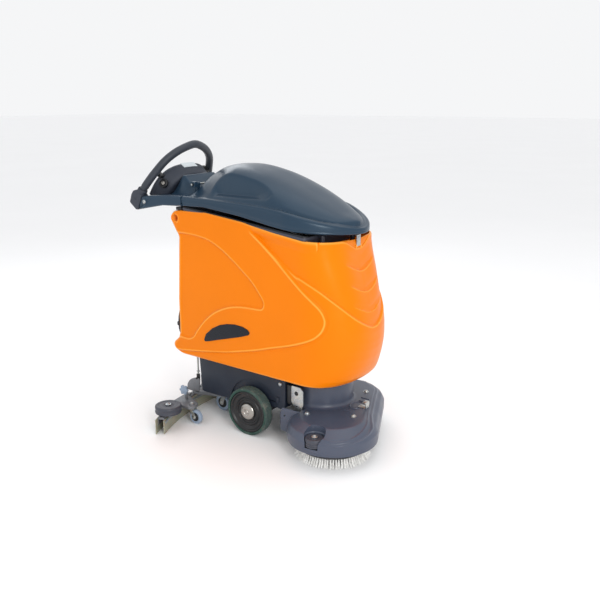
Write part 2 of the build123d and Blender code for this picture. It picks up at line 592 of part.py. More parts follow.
# recesses for the bumper rollers, right front and left rear
DB = [(385.0, -285.0), (249.0, 285.0)]
for (x, y) in DB:
    deck = deck + (cz(x, y, 44, 84, 134) & (skirt_o + shoulder_o + plateau_o))
    deck = deck - cz(x, y, 38.5, 88, 160)
# the rear is cut off ahead of the left tyre and stepped down under the chassis
DECK_BACK, DECK_STEP_X, DECK_STEP_Z = 107.0, 162.0, 92.0
hull_all = skirt_o + shoulder_o + plateau_o
deck = deck + (box(DECK_BACK, DECK_STEP_X + 4, -400, 400, DECK_STEP_Z - 4, DECK_STEP_Z) & hull_all)
deck = deck + (box(DECK_STEP_X, DECK_STEP_X + 4, -400, 400, DECK_STEP_Z - 4, 160) & hull_all)
deck = deck + (box(DECK_BACK, DECK_BACK + 4, -400, 400, 64, DECK_STEP_Z) & hull_all)
deck = deck - box(60, DECK_STEP_X, -400, 400, DECK_STEP_Z, 200) - box(60, DECK_BACK, -400, 400, 40, 200)
# bore for the motor shaft
deck = deck - cz(295, 0, 13, 140, 170)
# bosses that hold the roller axles
deck = Solid(sorted(deck.solids(), key=lambda q: -q.volume)[0].wrapped)
node("deck_housing", deck)

# motor cover: the drum on the deck that reaches up under the tank's nose
cover = cz(235, 0, 126, 155.2, 283) - cz(235, 0, 122, 150, 279)
cover = cover - box(100, 163, -160, 160, 150, 290)
cover = cover + (box(163, 167, -130, 130, 155.2, 283) & cz(235, 0, 126, 155.2, 283))
node("motor_cover", cover)

# one motor drives both brushes through a belt below the deck
bm = cz(295, 0, 52, 155.3, 262) + cz(295, 0, 36, 262, 270) + cz(295, 0, 8, 122, 156) + cz(295, 0, 9.4, 123, 139)
bm = bm - cz(295, 0, 10, 264, 272)
node("brush_motor", bm)
belt_c = [(BRUSH_X_R, BRUSH_Y_R, 30.4), (BRUSH_X_L, BRUSH_Y_L, 30.4)]
belt = Solid.extrude(Face(Wire.make_polygon([Vector(x, y, 124.5) for x, y in hull_outline(belt_c, 4, 60)], close=True)), Vector(0, 0, 13)) - \
    Solid.extrude(Face(Wire.make_polygon([Vector(x, y, 120) for x, y in hull_outline(belt_c, 0.2, 60)], close=True)), Vector(0, 0, 30))
node("brush_belt", belt)

# deck hardware: bolts, hook bracket and roller axles
hw = []
for (x, y) in ((283, -182), (443, -103), (359, 143), (200, 190)):
    hw.append(cz(x, y, 8, 155.1, 157) + Solid.make_sphere(9, Plane((x, y, 150.5))) - box(x - 20, x + 20, y - 20, y + 20, 130, 155.1))
hk = box(410, 448, -14, 14, 155.2, 158.5) + box(443, 447, -14, 14, 158, 180)
hk = hk + box(430, 447, -14, 14, 177, 180)
hw.append(hk)
for (x, y) in DB:
    hw.append(cz(x, y, 7.95, 88.2, 128) + cz(x, y, 12, 125.5, 129))

# flap plate hung behind the deck on the right
flap = prism_xz([(150, 52), (228, 46), (232, 128), (230, 150), (160, 150), (150, 128)], -176, -172)
flap = flap - cy(170, 118, 5, -180, -170)
flap = flap + (box(228, 262, -176, -172, 120, 150) & prism_xz([(150, 60), (300, 60), (300, 150), (150, 150)], -180, -170))
flap = flap - Solid.extrude(Face(hull_wire(0.3, 60)), Vector(0, 0, 100))
node("deck_housing", deck, flap)

for side, (x, y) in zip(("right", "left"), DB):
    r_ = turned([(8.05, 0), (34, 0), (35, 1.5), (35, 15), (33.5, 16), (33.5, 19), (35, 20), (35, 32), (32, 34), (8.05, 34)],
                (x, y, 91), (0, 0, 1))
    node("deck_bumper_" + side, r_)

for side, (x, y) in (("right", (BRUSH_X_R, BRUSH_Y_R)), ("left", (BRUSH_X_L, BRUSH_Y_L))):
    disc = turned([(0, 34), (BRUSH_R - 8, 34), (BRUSH_R - 4, 38), (BRUSH_R - 4, 52), (40, 56), (34, 84), (12, 88),
                   (12, 122), (30, 122), (30, 140), (0, 140)], (x, y, 0), (0, 0, 1))
    node("brush_" + side, disc)
    tuft = turned([(62, 1), (BRUSH_R + 6, 1), (BRUSH_R - 8, 33.9), (66, 33.9)], (x, y, 0), (0, 0, 1))
    node("bristles_" + side, tuft)

# deck guides: zinc plates that stand on the deck and slide up beside the tray
for s in (-1, 1):
    a, b = sorted((s * 152.3, s * 156))
    g = prism_xz([(150, 244), (232, 240), (246, 228), (246, 168), (240, 157), (240, 100), (206, 100), (206, 157),
                  (190, 157), (178, 170), (150, 196)], a, b)
    g = g - cy(214, 214, 9, min(s * 150, s * 160), max(s * 150, s * 160))
    hw.append(g - hull_all)
node("deck_hardware", *hw)


# screws with domed heads: tray sides, arms, castors
screws = []
for s in (-1, 1):
    sc = cy(133, 234, 3.95, min(s * 145, s * 153), max(s * 145, s * 153)) + \
        (Solid.make_sphere(9, Plane((133, s * 148.5, 234))) & box(100, 160, min(s * 152.05, s * 170), max(s * 152.05, s * 170), 200, 260))
    screws.append(sc)
    sa = Solid.make_sphere(9, Plane((-506, s * 214, 920))) & box(-530, -480, min(s * 218.05, s * 230), max(s * 218.05, s * 230), 900, 940)
    screws.append(sa)
node("pins_and_screws", *pins, *screws)

# ---------------------------------------------------------------- squeegee arm
armz = lambda x: SQ_PIVOT_Z + (x - SQ_PIVOT_X) * 0.155
sqa = None
for s in (-1, 1):
    a, b = sorted((s * 127.5, s * 141))
    bar = prism_xz([(SQ_PIVOT_X, SQ_PIVOT_Z + 9), (SQ_PIVOT_X, SQ_PIVOT_Z - 9), (-300, armz(-300) - 9), (-345, 81),
                    (-352, 81), (-352, 93), (-345, 96), (-300, armz(-300) + 9)], a, b)
    bar = bar + cy(SQ_PIVOT_X, SQ_PIVOT_Z, 13, a, b)
    bar = bar - cy(SQ_PIVOT_X, SQ_PIVOT_Z, 5.06, min(s * 120, s * 150), max(s * 120, s * 150))
    # quadrant plate that the lifting link and the tilt knob act on
    q = cy(-322, 96, 62, min(s * 136, s * 140.9), max(s * 136, s * 140.9)) & \
        prism_xz([(-322, 92), (-300, 92), (-303, 165), (-330, 170), (-390, 150), (-390, 92)], -142, 142)
    q = q - cy(-350, 132, 6, min(s * 130, s * 150), max(s * 130, s * 150))
    bar = bar + q
    sqa = bar if sqa is None else sqa + bar
yoke = prism_xy([(-300, -141), (-300, 141), (-345, 141), (-361, 30), (-363, 0), (-361, -30), (-345, -141)], 82, 92)
yoke = yoke + cz(SWING_X, 0, 18, 82, 92)
yoke = yoke - cz(SWING_X, 0, 8.05, 70, 100)
sqa = sqa + yoke
node("squeegee_arm", sqa)

# lifting link: zinc rod with its black end block
lk = cyl((-324, -129, 160), (0, 0, 1), 4, 90) + box(-331, -317, -135.8, -123, 150, 176)
node("squeegee_link", lk)

# ---------------------------------------------------------------- squeegee head
def arc_band(off_in, off_out, y_half, z0, z1):
    # plan band that follows the squeegee's bow; offsets are measured rearwards
    r = ((SQ_TIP_Y ** 2) + (SQ_TIP_X - SQ_MID_X) ** 2) / (2 * (SQ_TIP_X - SQ_MID_X))
    cx0 = SQ_MID_X + r

    def pt(rr, y):
        return Vector(cx0 - math.sqrt(rr * rr - y * y), y, z0)

    r1, r2 = r + off_in, r + off_out
    e1 = Edge.make_three_point_arc(pt(r1, -y_half), pt(r1, 0), pt(r1, y_half))
    e2 = Edge.make_line(pt(r1, y_half), pt(r2, y_half))
    e3 = Edge.make_three_point_arc(pt(r2, y_half), pt(r2, 0), pt(r2, -y_half))
    e4 = Edge.make_line(pt(r2, -y_half), pt(r1, -y_half))
    return Solid.extrude(Face(Wire([e1, e2, e3, e4])), Vector(0, 0, z1 - z0))


def bow_x(y):
    r = ((SQ_TIP_Y ** 2) + (SQ_TIP_X - SQ_MID_X) ** 2) / (2 * (SQ_TIP_X - SQ_MID_X))
    return SQ_MID_X + r - math.sqrt(r * r - y * y)


beam = arc_band(-14, 14, 392, 34, 68)
beam = beam - arc_band(-10, 10, 384, 20, 60)
tongue = prism_xy([(-395, -55), (-395, 55), (-335, 34), (-327, 0), (-335, -34)], 68, 80)
beam = beam + tongue
beam = beam + cz(SWING_X, 0, 8.0, 79, 100) + cz(SWING_X, 0, 13, 92.3, 100)
for s in (-1, 1):
    br = prism_xy([(bow_x(190) - 12, s * 170), (bow_x(190) + 8, s * 160), (-262, s * 205), (-246, s * 232),
                   (-262, s * 262), (bow_x(262) + 2, s * 268), (bow_x(262) - 16, s * 268)], 68, 80)
    beam = beam + br
    beam = beam - cz(SQ_CASTOR_X, s * SQ_CASTOR_Y, 6.05, 60, 78)
    beam = beam + cz(BUMP_X, s * BUMP_Y, 16, 66, 69.6) + cz(BUMP_X, s * BUMP_Y, 7.95, 60, 103.5) + cz(BUMP_X, s * BUMP_Y, 12, 104.0, 107.5) \
        + cz(BUMP_X, s * BUMP_Y, 7.95, 100, 105)
# suction port
port = cz(-392, 0, 26, 68, 116)
beam = beam + port
beam = beam - cz(-392, 0, 22, 30, 117)
beam = beam - cz(SQ_MID_X, 0, 9, 50, 70)
# tilt knob post, right side only
beam = beam + cz(-338, -193, 6, 79, 122) + cy(-338, 122, 7, -200, -187) + cy(-338, 122, 3.95, -213, -199)
beam = Solid(sorted(beam.solids(), key=lambda q: -q.volume)[0].wrapped)
node("squeegee_beam", beam)

blade_r = arc_band(14.2, 18.2, 405, 1, 64)
blade_f = arc_band(-18.2, -14.2, 400, 1, 60)
node("squeegee_blades", blade_r, blade_f)

kn = cy(-338, 122, 19, -214, -200.4)
for i in range(6):
    a = math.radians(60 * i)
    kn = kn + cy(-338 + 16 * math.cos(a), 122 + 16 * math.sin(a), 6, -214, -200.4)
kn = kn - cy(-338, 122, 4.0, -213.2, -199)
node("squeegee_knob", kn)

for side, s in (("right", -1), ("left", 1)):
    rr = turned([(8.05, 0), (52, 0), (BUMP_R, 3), (BUMP_R, 30), (52, 33.5), (20, 33.5), (18, 31), (8.05, 31)],
                (BUMP_X, s * BUMP_Y, 70), (0, 0, 1))
    node("squeegee_bumper_" + side, rr)
    # fork: plate above the wheel, cheeks down to the pin
    f = cz(SQ_CASTOR_X, s * SQ_CASTOR_Y, 17, 63.5, 67.7) + cz(SQ_CASTOR_X, s * SQ_CASTOR_Y, 6.0, 67, 77.5)
    ax = SQ_CASTOR_X + SQ_TRAIL
    for t in (-1, 1):
        a, b = sorted((s * SQ_CASTOR_Y + t * 11.0, s * SQ_CASTOR_Y + t * 13.5))
        f = f + prism_xz([(SQ_CASTOR_X - 9, 67), (SQ_CASTOR_X + 9, 67), (ax + 8, 33), (ax + 5, 24), (ax - 5, 24), (ax - 8, 31)], a, b)
    f = f + cy(ax, SQ_CASTOR_R, 3.5, s * SQ_CASTOR_Y - 15.5, s * SQ_CASTOR_Y + 15.5)
    node("squeegee_fork_" + side, f)
    node("squeegee_castor_" + side, castor_wheel(ax, s * SQ_CASTOR_Y, SQ_CASTOR_R, 10, 3.55))

# ---------------------------------------------------------------- write
for name, solids in NODES.items():
    moved = [s.moved(Location((SHIFT_X, 0, 0))) for s in solids]
    shape = moved[0] if len(moved) == 1 else Compound(children=[Solid(m.wrapped) for m in moved])
    export_step(shape, "parts/" + name + ".step")
print(len(NODES), "nodes")
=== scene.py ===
import bpy
import bmesh
import math
import random
import numpy as np
from mathutils import Vector, Matrix


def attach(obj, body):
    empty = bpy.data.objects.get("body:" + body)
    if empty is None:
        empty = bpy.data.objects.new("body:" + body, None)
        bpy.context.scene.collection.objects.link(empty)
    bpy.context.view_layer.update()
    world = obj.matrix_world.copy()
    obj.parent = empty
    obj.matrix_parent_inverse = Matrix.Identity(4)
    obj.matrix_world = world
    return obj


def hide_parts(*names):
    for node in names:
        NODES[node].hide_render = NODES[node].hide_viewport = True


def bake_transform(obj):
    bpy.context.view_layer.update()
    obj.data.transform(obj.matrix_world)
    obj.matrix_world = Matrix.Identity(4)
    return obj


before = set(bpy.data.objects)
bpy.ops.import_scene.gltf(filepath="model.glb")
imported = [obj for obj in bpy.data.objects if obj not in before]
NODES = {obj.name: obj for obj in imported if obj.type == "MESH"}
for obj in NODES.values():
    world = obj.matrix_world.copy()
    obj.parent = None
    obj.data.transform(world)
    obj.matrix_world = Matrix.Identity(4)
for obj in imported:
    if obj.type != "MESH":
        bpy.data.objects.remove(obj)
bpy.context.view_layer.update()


def have(*names):
    return [k for k in names if k in NODES]


rng = random.Random(11)
SX = 22.5          # drive axle to the middle of the footprint, mm
scene = bpy.context.scene


# ------------------------------------------------------------------ materials
def srgb(r, g, b):
    def f(c):
        c /= 255.0
        return c / 12.92 if c <= 0.04045 else ((c + 0.055) / 1.055) ** 2.4
    return (f(r), f(g), f(b), 1.0)


def shade(c, k):
    return (min(c[0] * k, 1), min(c[1] * k, 1), min(c[2] * k, 1), 1.0)


def mat(name, col, rough=(0.4, 0.5), metal=0.0, var=0.08, var_scale=6.0, grain=900.0, bump=0.15, bump_d=0.0003,
        coat=0.0, coat_rough=0.2, spec=0.5, edge_wear_and_highlight=0.0, edge_wear_and_highlight_col=None, cells=None, streak=None, spots=0.0, sheen=0.0,
        trans=0.0, sss=0.0, alt=None, tint=None, edge=(0.53, 0.62)):
    m = bpy.data.materials.new(name)
    m.use_nodes = True
    nt = m.node_tree
    n, l = nt.nodes, nt.links
    b = n["Principled BSDF"]
    b.inputs["Metallic"].default_value = metal
    b.inputs["Specular IOR Level"].default_value = spec
    if tint:
        b.inputs["Specular Tint"].default_value = tint
    b.inputs["Coat Weight"].default_value = coat
    b.inputs["Coat Roughness"].default_value = coat_rough
    b.inputs["Sheen Weight"].default_value = sheen
    b.inputs["Transmission Weight"].default_value = trans
    if sss:
        b.inputs["Subsurface Weight"].default_value = sss
        b.inputs["Subsurface Scale"].default_value = 0.004
    tc = n.new("ShaderNodeTexCoord")
    # broad drift of tone over the moulding
    no = n.new("ShaderNodeTexNoise")
    no.inputs["Scale"].default_value = var_scale
    no.inputs["Detail"].default_value = 5.0
    no.inputs["Roughness"].default_value = 0.62
    l.new(tc.outputs["Object"], no.inputs["Vector"])
    cr = n.new("ShaderNodeValToRGB")
    cr.color_ramp.elements[0].position = 0.3
    cr.color_ramp.elements[1].position = 0.72
    cr.color_ramp.elements[0].color = shade(col, 1 - var)
    cr.color_ramp.elements[1].color = shade(alt, 1.0) if alt else shade(col, 1 + var)
    l.new(no.outputs["Fac"], cr.inputs["Fac"])
    out = cr.outputs["Color"]
    # fine mottling at the scale of the grain
    fi = n.new("ShaderNodeTexNoise")
    fi.inputs["Scale"].default_value = grain
    fi.inputs["Detail"].default_value = 3.0
    l.new(tc.outputs["Object"], fi.inputs["Vector"])
    height = fi.outputs["Fac"]
    if cells:
        vo = n.new("ShaderNodeTexVoronoi")
        vo.inputs["Scale"].default_value = cells
        l.new(tc.outputs["Object"], vo.inputs["Vector"])
        ad = n.new("ShaderNodeMath")
        ad.operation = "ADD"
        l.new(vo.outputs["Distance"], ad.inputs[0])
        l.new(fi.outputs["Fac"], ad.inputs[1])
        height = ad.outputs[0]
        mr2 = n.new("ShaderNodeMapRange")
        mr2.inputs["From Min"].default_value = 0.0
        mr2.inputs["From Max"].default_value = 0.7
        mr2.inputs["To Min"].default_value = 0.0
        mr2.inputs["To Max"].default_value = 0.5
        l.new(vo.outputs["Distance"], mr2.inputs["Value"])
        mx2 = n.new("ShaderNodeMix")
        mx2.data_type = "RGBA"
        mx2.blend_type = "MULTIPLY"
        mx2.inputs["B"].default_value = (0.72, 0.72, 0.74, 1)
        l.new(mr2.outputs["Result"], mx2.inputs["Factor"])
        l.new(out, mx2.inputs["A"])
        out = mx2.outputs["Result"]
    if streak:
        mp = n.new("ShaderNodeMapping")
        mp.inputs["Scale"].default_value = streak
        l.new(tc.outputs["Object"], mp.inputs["Vector"])
        sn = n.new("ShaderNodeTexNoise")
        sn.inputs["Scale"].default_value = 1.0
        sn.inputs["Detail"].default_value = 4.0
        l.new(mp.outputs["Vector"], sn.inputs["Vector"])
        sr = n.new("ShaderNodeMapRange")
        sr.inputs["From Min"].default_value = 0.35
        sr.inputs["From Max"].default_value = 0.7
        sr.inputs["To Max"].default_value = 0.4
        l.new(sn.outputs["Fac"], sr.inputs["Value"])
        mx3 = n.new("ShaderNodeMix")
        mx3.data_type = "RGBA"
        mx3.blend_type = "MULTIPLY"
        mx3.inputs["B"].default_value = (0.6, 0.6, 0.6, 1)
        l.new(sr.outputs["Result"], mx3.inputs["Factor"])
        l.new(out, mx3.inputs["A"])
        out = mx3.outputs["Result"]
    # Convex edges, found by pointiness, are mixed toward a lighter colour: on the orange tank this is a painted
    # highlight along the relief lines, on the other finishes it lightens convex edges as wear.
    if edge_wear_and_highlight > 0:
        ge = n.new("ShaderNodeNewGeometry")
        wr = n.new("ShaderNodeMapRange")
        wr.inputs["From Min"].default_value = edge[0]
        wr.inputs["From Max"].default_value = edge[1]
        wr.inputs["To Max"].default_value = edge_wear_and_highlight
        l.new(ge.outputs["Pointiness"], wr.inputs["Value"])
        mx4 = n.new("ShaderNodeMix")
        mx4.data_type = "RGBA"
        mx4.inputs["B"].default_value = edge_wear_and_highlight_col or shade(col, 1.9)
        l.new(wr.outputs["Result"], mx4.inputs["Factor"])
        l.new(out, mx4.inputs["A"])
        out = mx4.outputs["Result"]
    if spots > 0:
        du = n.new("ShaderNodeTexNoise")
        du.inputs["Scale"].default_value = 38.0
        du.inputs["Detail"].default_value = 8.0
        du.inputs["Roughness"].default_value = 0.75
        l.new(tc.outputs["Object"], du.inputs["Vector"])
        dr = n.new("ShaderNodeMapRange")
        dr.inputs["From Min"].default_value = 0.52
        dr.inputs["From Max"].default_value = 0.75
        dr.inputs["To Max"].default_value = spots
        l.new(du.outputs["Fac"], dr.inputs["Value"])
        mx5 = n.new("ShaderNodeMix")
        mx5.data_type = "RGBA"
        mx5.inputs["B"].default_value = srgb(150, 143, 130)
        l.new(dr.outputs["Result"], mx5.inputs["Factor"])
        l.new(out, mx5.inputs["A"])
        out = mx5.outputs["Result"]
    l.new(out, b.inputs["Base Color"])
    ro = n.new("ShaderNodeTexNoise")
    ro.inputs["Scale"].default_value = var_scale * 2.7
    ro.inputs["Detail"].default_value = 6.0
    l.new(tc.outputs["Object"], ro.inputs["Vector"])
    rr = n.new("ShaderNodeMapRange")
    rr.inputs["From Min"].default_value = 0.3
    rr.inputs["From Max"].default_value = 0.7
    rr.inputs["To Min"].default_value = rough[0]
    rr.inputs["To Max"].default_value = rough[1]
    l.new(ro.outputs["Fac"], rr.inputs["Value"])
    l.new(rr.outputs["Result"], b.inputs["Roughness"])
    bp = n.new("ShaderNodeBump")
    bp.inputs["Strength"].default_value = bump
    bp.inputs["Distance"].default_value = bump_d
    l.new(height, bp.inputs["Height"])
    l.new(bp.outputs["Normal"], b.inputs["Normal"])
    return m


M = {}
# the tank's pale-orange pointiness mix is a painted highlight on the convex relief edges
M["tank_orange"] = mat("tank_orange", srgb(231, 121, 0), rough=(0.3, 0.38), var=0.03, edge_wear_and_highlight=0.6,
                       edge_wear_and_highlight_col=srgb(255, 186, 84), edge=(0.507, 0.54), var_scale=3.0, grain=700, bump=0.12,
                       bump_d=0.0002, spec=0.34, tint=(1.0, 0.6, 0.3, 1))
M["blue_grey"] = mat("blue_grey", srgb(30, 50, 68), rough=(0.28, 0.36), var=0.05, var_scale=3.0, grain=1100, bump=0.1,
                     bump_d=0.0002, spec=0.42, edge_wear_and_highlight=0.06, tint=(0.76, 0.9, 1.0, 1))
M["charcoal"] = mat("charcoal", srgb(50, 56, 68), rough=(0.5, 0.62), var=0.1, grain=600, cells=650, bump=0.5,
                    bump_d=0.0004, edge_wear_and_highlight=0.12)
M["soft_grip"] = mat("soft_grip", srgb(44, 50, 60), rough=(0.46, 0.56), var=0.07, grain=1300, cells=1500, bump=0.3,
                     bump_d=0.0002, edge_wear_and_highlight=0.1, sheen=0.1)
M["chassis_navy"] = mat("chassis_navy", srgb(24, 33, 48), rough=(0.48, 0.6), var=0.08, var_scale=5, grain=800, bump=0.3,
                        bump_d=0.0003, edge_wear_and_highlight=0.1)
M["deck_grey"] = mat("deck_grey", srgb(68, 75, 92), rough=(0.3, 0.4), var=0.05, var_scale=4, grain=900, bump=0.22,
                     bump_d=0.0003, edge_wear_and_highlight=0.18)
M["black_plastic"] = mat("black_plastic", srgb(24, 25, 28), rough=(0.36, 0.5), var=0.12, grain=900, bump=0.25, edge_wear_and_highlight=0.1)
M["black_rubber"] = mat("black_rubber", srgb(26, 28, 33), rough=(0.5, 0.68), var=0.14, var_scale=20, grain=1200, bump=0.3)
M["bumper_grey"] = mat("bumper_grey", srgb(62, 65, 76), rough=(0.42, 0.54), var=0.07, var_scale=12, grain=900, bump=0.25,
                       streak=(40, 40, 600))
M["badge_black"] = mat("badge_black", srgb(16, 20, 30), rough=(0.24, 0.32), var=0.06, grain=1500, bump=0.05, spec=0.3)
M["label_white"] = mat("label_white", srgb(214, 222, 226), rough=(0.3, 0.42), var=0.05, var_scale=30, grain=1200, bump=0.1)
M["green_tyre"] = mat("green_tyre", srgb(34, 66, 58), rough=(0.62, 0.8), var=0.22, var_scale=34, grain=1400, bump=0.55,
                      bump_d=0.0005, spots=0.42)
M["rim_black"] = mat("rim_black", srgb(20, 21, 24), rough=(0.26, 0.42), var=0.15, var_scale=14, grain=1000, bump=0.2,
                     edge_wear_and_highlight=0.25, edge_wear_and_highlight_col=srgb(80, 82, 88))
M["silver"] = mat("silver", srgb(176, 172, 166), rough=(0.24, 0.4), metal=0.9, var=0.08, var_scale=30, grain=1300,
                  bump=0.15, streak=(500, 60, 500))
M["zinc"] = mat("zinc", srgb(188, 196, 204), rough=(0.24, 0.42), metal=0.92, var=0.14, var_scale=40, grain=900,
                bump=0.2, cells=160, alt=srgb(206, 206, 196))
M["cast_grey"] = mat("cast_grey", srgb(132, 134, 138), rough=(0.48, 0.64), metal=0.65, var=0.14, var_scale=26, grain=700,
                     cells=420, bump=0.6, bump_d=0.0005)
M["castor_grey"] = mat("castor_grey", srgb(142, 158, 178), rough=(0.45, 0.58), var=0.07, var_scale=25, grain=1100,
                       bump=0.3, spots=0.12)
M["bristle_white"] = mat("bristle_white", srgb(250, 249, 246), rough=(0.4, 0.55), var=0.07, var_scale=160, grain=1500,
                         bump=0.1)
M["brush_body"] = mat("brush_body", srgb(48, 50, 56), rough=(0.5, 0.64), var=0.1, grain=800, bump=0.3)
M["blade_beige"] = mat("blade_beige", srgb(158, 156, 136), rough=(0.32, 0.46), var=0.1, var_scale=16, grain=1000, bump=0.2,
                       sss=0.2, streak=(12, 12, 160))
M["battery_black"] = mat("battery_black", srgb(30, 30, 32), rough=(0.5, 0.62), var=0.1, grain=800, bump=0.3)
M["cast_iron"] = mat("cast_iron", srgb(62, 64, 68), rough=(0.55, 0.7), metal=0.5, var=0.16, var_scale=20, cells=300, bump=0.6,
                     bump_d=0.0006)
M["heat_sink"] = mat("heat_sink", srgb(150, 154, 160), rough=(0.35, 0.5), metal=0.85, var=0.08, var_scale=20, bump=0.2,
                     streak=(300, 20, 300))
M["stop_red"] = mat("stop_red", srgb(196, 22, 20), rough=(0.25, 0.36), var=0.06, var_scale=40, grain=1200, bump=0.1, coat=0.3)
M["float_white"] = mat("float_white", srgb(220, 222, 220), rough=(0.3, 0.42), var=0.04, var_scale=14, grain=900, bump=0.15,
                       sss=0.1)
M["tread_grey"] = mat("tread_grey", srgb(74, 92, 88), rough=(0.66, 0.82), var=0.2, var_scale=60, grain=900, bump=0.8,
                      bump_d=0.0008, spots=0.7, cells=260)
M["tub_grey"] = mat("tub_grey", srgb(52, 54, 66), rough=(0.34, 0.48), var=0.06, var_scale=5, grain=800, bump=0.2, edge_wear_and_highlight=0.2)


# ------------------------------------------------------------------ mesh helpers (modelling millimetres)
class B:
    """Collects the parts of one piece."""

    def __init__(self):
        self.v, self.f, self.k = [], [], 0

    def add(self, vf, move=None):
        v, f = vf
        v = np.asarray(v, float).reshape(-1, 3)
        self.v.append(v)
        self.f += [[i + self.k for i in q] for q in f]
        self.k += len(v)
        return self

    def mirror(self):
        v = np.concatenate(self.v)
        w = v.copy()
        w[:, 1] *= -1
        f = [list(reversed([i + self.k for i in q])) for q in self.f]
        self.v.append(w)
        self.f += f
        self.k += len(w)
        return self

    def mesh(self, name, weld=0.02):
        v = np.concatenate(self.v).copy()
        v[:, 0] += SX
        v *= 0.001
        me = bpy.data.meshes.new(name)
        me.from_pydata(v.tolist(), [], self.f)
        bm = bmesh.new()
        bm.from_mesh(me)
        if weld:
            bmesh.ops.remove_doubles(bm, verts=bm.verts, dist=weld * 0.001)
        bmesh.ops.dissolve_degenerate(bm, dist=1e-6, edges=bm.edges)
        bmesh.ops.recalc_face_normals(bm, faces=bm.faces)
        bm.to_mesh(me)
        bm.free()
        return me

    def done(self, name, material, body, slot=None, replaces=(), angle=38, weld=0.02):
        ob = bpy.data.objects.new(name, self.mesh(name, weld))
        scene.collection.objects.link(ob)
        return finish_piece(ob, material, body, replaces, angle)


def smooth_by_angle(me, angle):
    bm = bmesh.new()
    bm.from_mesh(me)
    lim = math.radians(angle)
    for f in bm.faces:
        f.smooth = True
    for e in bm.edges:
        if len(e.link_faces) == 2:
            e.smooth = e.calc_face_angle(0.0) < lim
        else:
            e.smooth = False
    bm.to_mesh(me)
    bm.free()


def finish_piece(ob, material, body, replaces=(), angle=38):
    smooth_by_angle(ob.data, angle)
    ob.data.materials.clear()
    ob.data.materials.append(M[material])
    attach(ob, body)
    if replaces:
        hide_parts(*replaces)
    return ob


def cut(ob, cutter_mesh):
    """Boolean difference with one closed cutter mesh, applied."""
    co = bpy.data.objects.new("cutter", cutter_mesh)
    scene.collection.objects.link(co)
    md = ob.modifiers.new("cut", "BOOLEAN")
    md.operation = "DIFFERENCE"
    md.solver = "EXACT"
    md.use_self = True
    md.object = co
    dg = bpy.context.evaluated_depsgraph_get()
    me = bpy.data.meshes.new_from_object(ob.evaluated_get(dg))
    ob.modifiers.clear()
    old = ob.data
    ob.data = me
    bpy.data.meshes.remove(old)
    bpy.data.objects.remove(co)
    return ob


def sm(a, b, x):
    t = np.clip((np.asarray(x, float) - a) / (b - a), 0, 1)
    return t * t * (3 - 2 * t)


def grid(P, cu=False, cv=False, flip=False):
    """Faces over an array of points (nu, nv, 3)."""
    P = np.asarray(P, float)
    nu, nv = P.shape[:2]
    f = []
    for i in range(nu if cu else nu - 1):
        for j in range(nv if cv else nv - 1):
            a, b = i, (i + 1) % nu
            c, d = j, (j + 1) % nv
            q = [a * nv + c, b * nv + c, b * nv + d, a * nv + d]
            f.append(q[::-1] if flip else q)
    return P.reshape(-1, 3), f


def fillet(pts, r, k=4, closed=True):
    """Rounds the corners of a 2-D outline; r is one radius or one per corner."""
    n = len(pts)
    out = []
    for i, p in enumerate(pts):
        ri = r[i] if isinstance(r, (list, tuple)) else r
        if (not closed and i in (0, n - 1)) or ri <= 0:
            out.append(tuple(p))
            continue
        p = Vector(p)
        a, b = Vector(pts[i - 1]) - p, Vector(pts[(i + 1) % n]) - p
        la, lb = a.length, b.length
        a.normalize()
        b.normalize()
        ang = a.angle(b, math.pi)
        if ang > math.radians(176) or ang < 1e-3:
            out.append(tuple(p))
            continue
        d = min(ri / math.tan(ang / 2), 0.47 * la, 0.47 * lb)
        rr = d * math.tan(ang / 2)
        bis = (a + b).normalized()
        c = p + bis * (rr / math.sin(ang / 2))
        p0, p1 = p + a * d, p + b * d
        v0, v1 = p0 - c, p1 - c
        tot = v0.angle(v1, 0)
        s = 1 if v0.x * v1.y - v0.y * v1.x > 0 else -1
        for j in range(k + 1):
            t = s * tot * j / k
            out.append((c.x + v0.x * math.cos(t) - v0.y * math.sin(t), c.y + v0.x * math.sin(t) + v0.y * math.cos(t)))
    return out


def offset2(pts, d):
    """Moves a closed 2-D outline inwards by d along its corner bisectors."""
    P = np.array(pts, float)
    a = P - np.roll(P, 1, 0)
    b = np.roll(P, -1, 0) - P
    a /= np.linalg.norm(a, axis=1)[:, None] + 1e-12
    b /= np.linalg.norm(b, axis=1)[:, None] + 1e-12
    na = np.stack([-a[:, 1], a[:, 0]], 1)
    nb = np.stack([-b[:, 1], b[:, 0]], 1)
    m = na + nb
    m /= (np.linalg.norm(m, axis=1)[:, None] + 1e-12)
    k = 1 / np.clip((m * na).sum(1), 0.4, 1)
    area = 0.5 * np.sum(P[:, 0] * np.roll(P[:, 1], -1) - np.roll(P[:, 0], -1) * P[:, 1])
    s = 1 if area > 0 else -1
    return P + m * (k * d * s)[:, None]


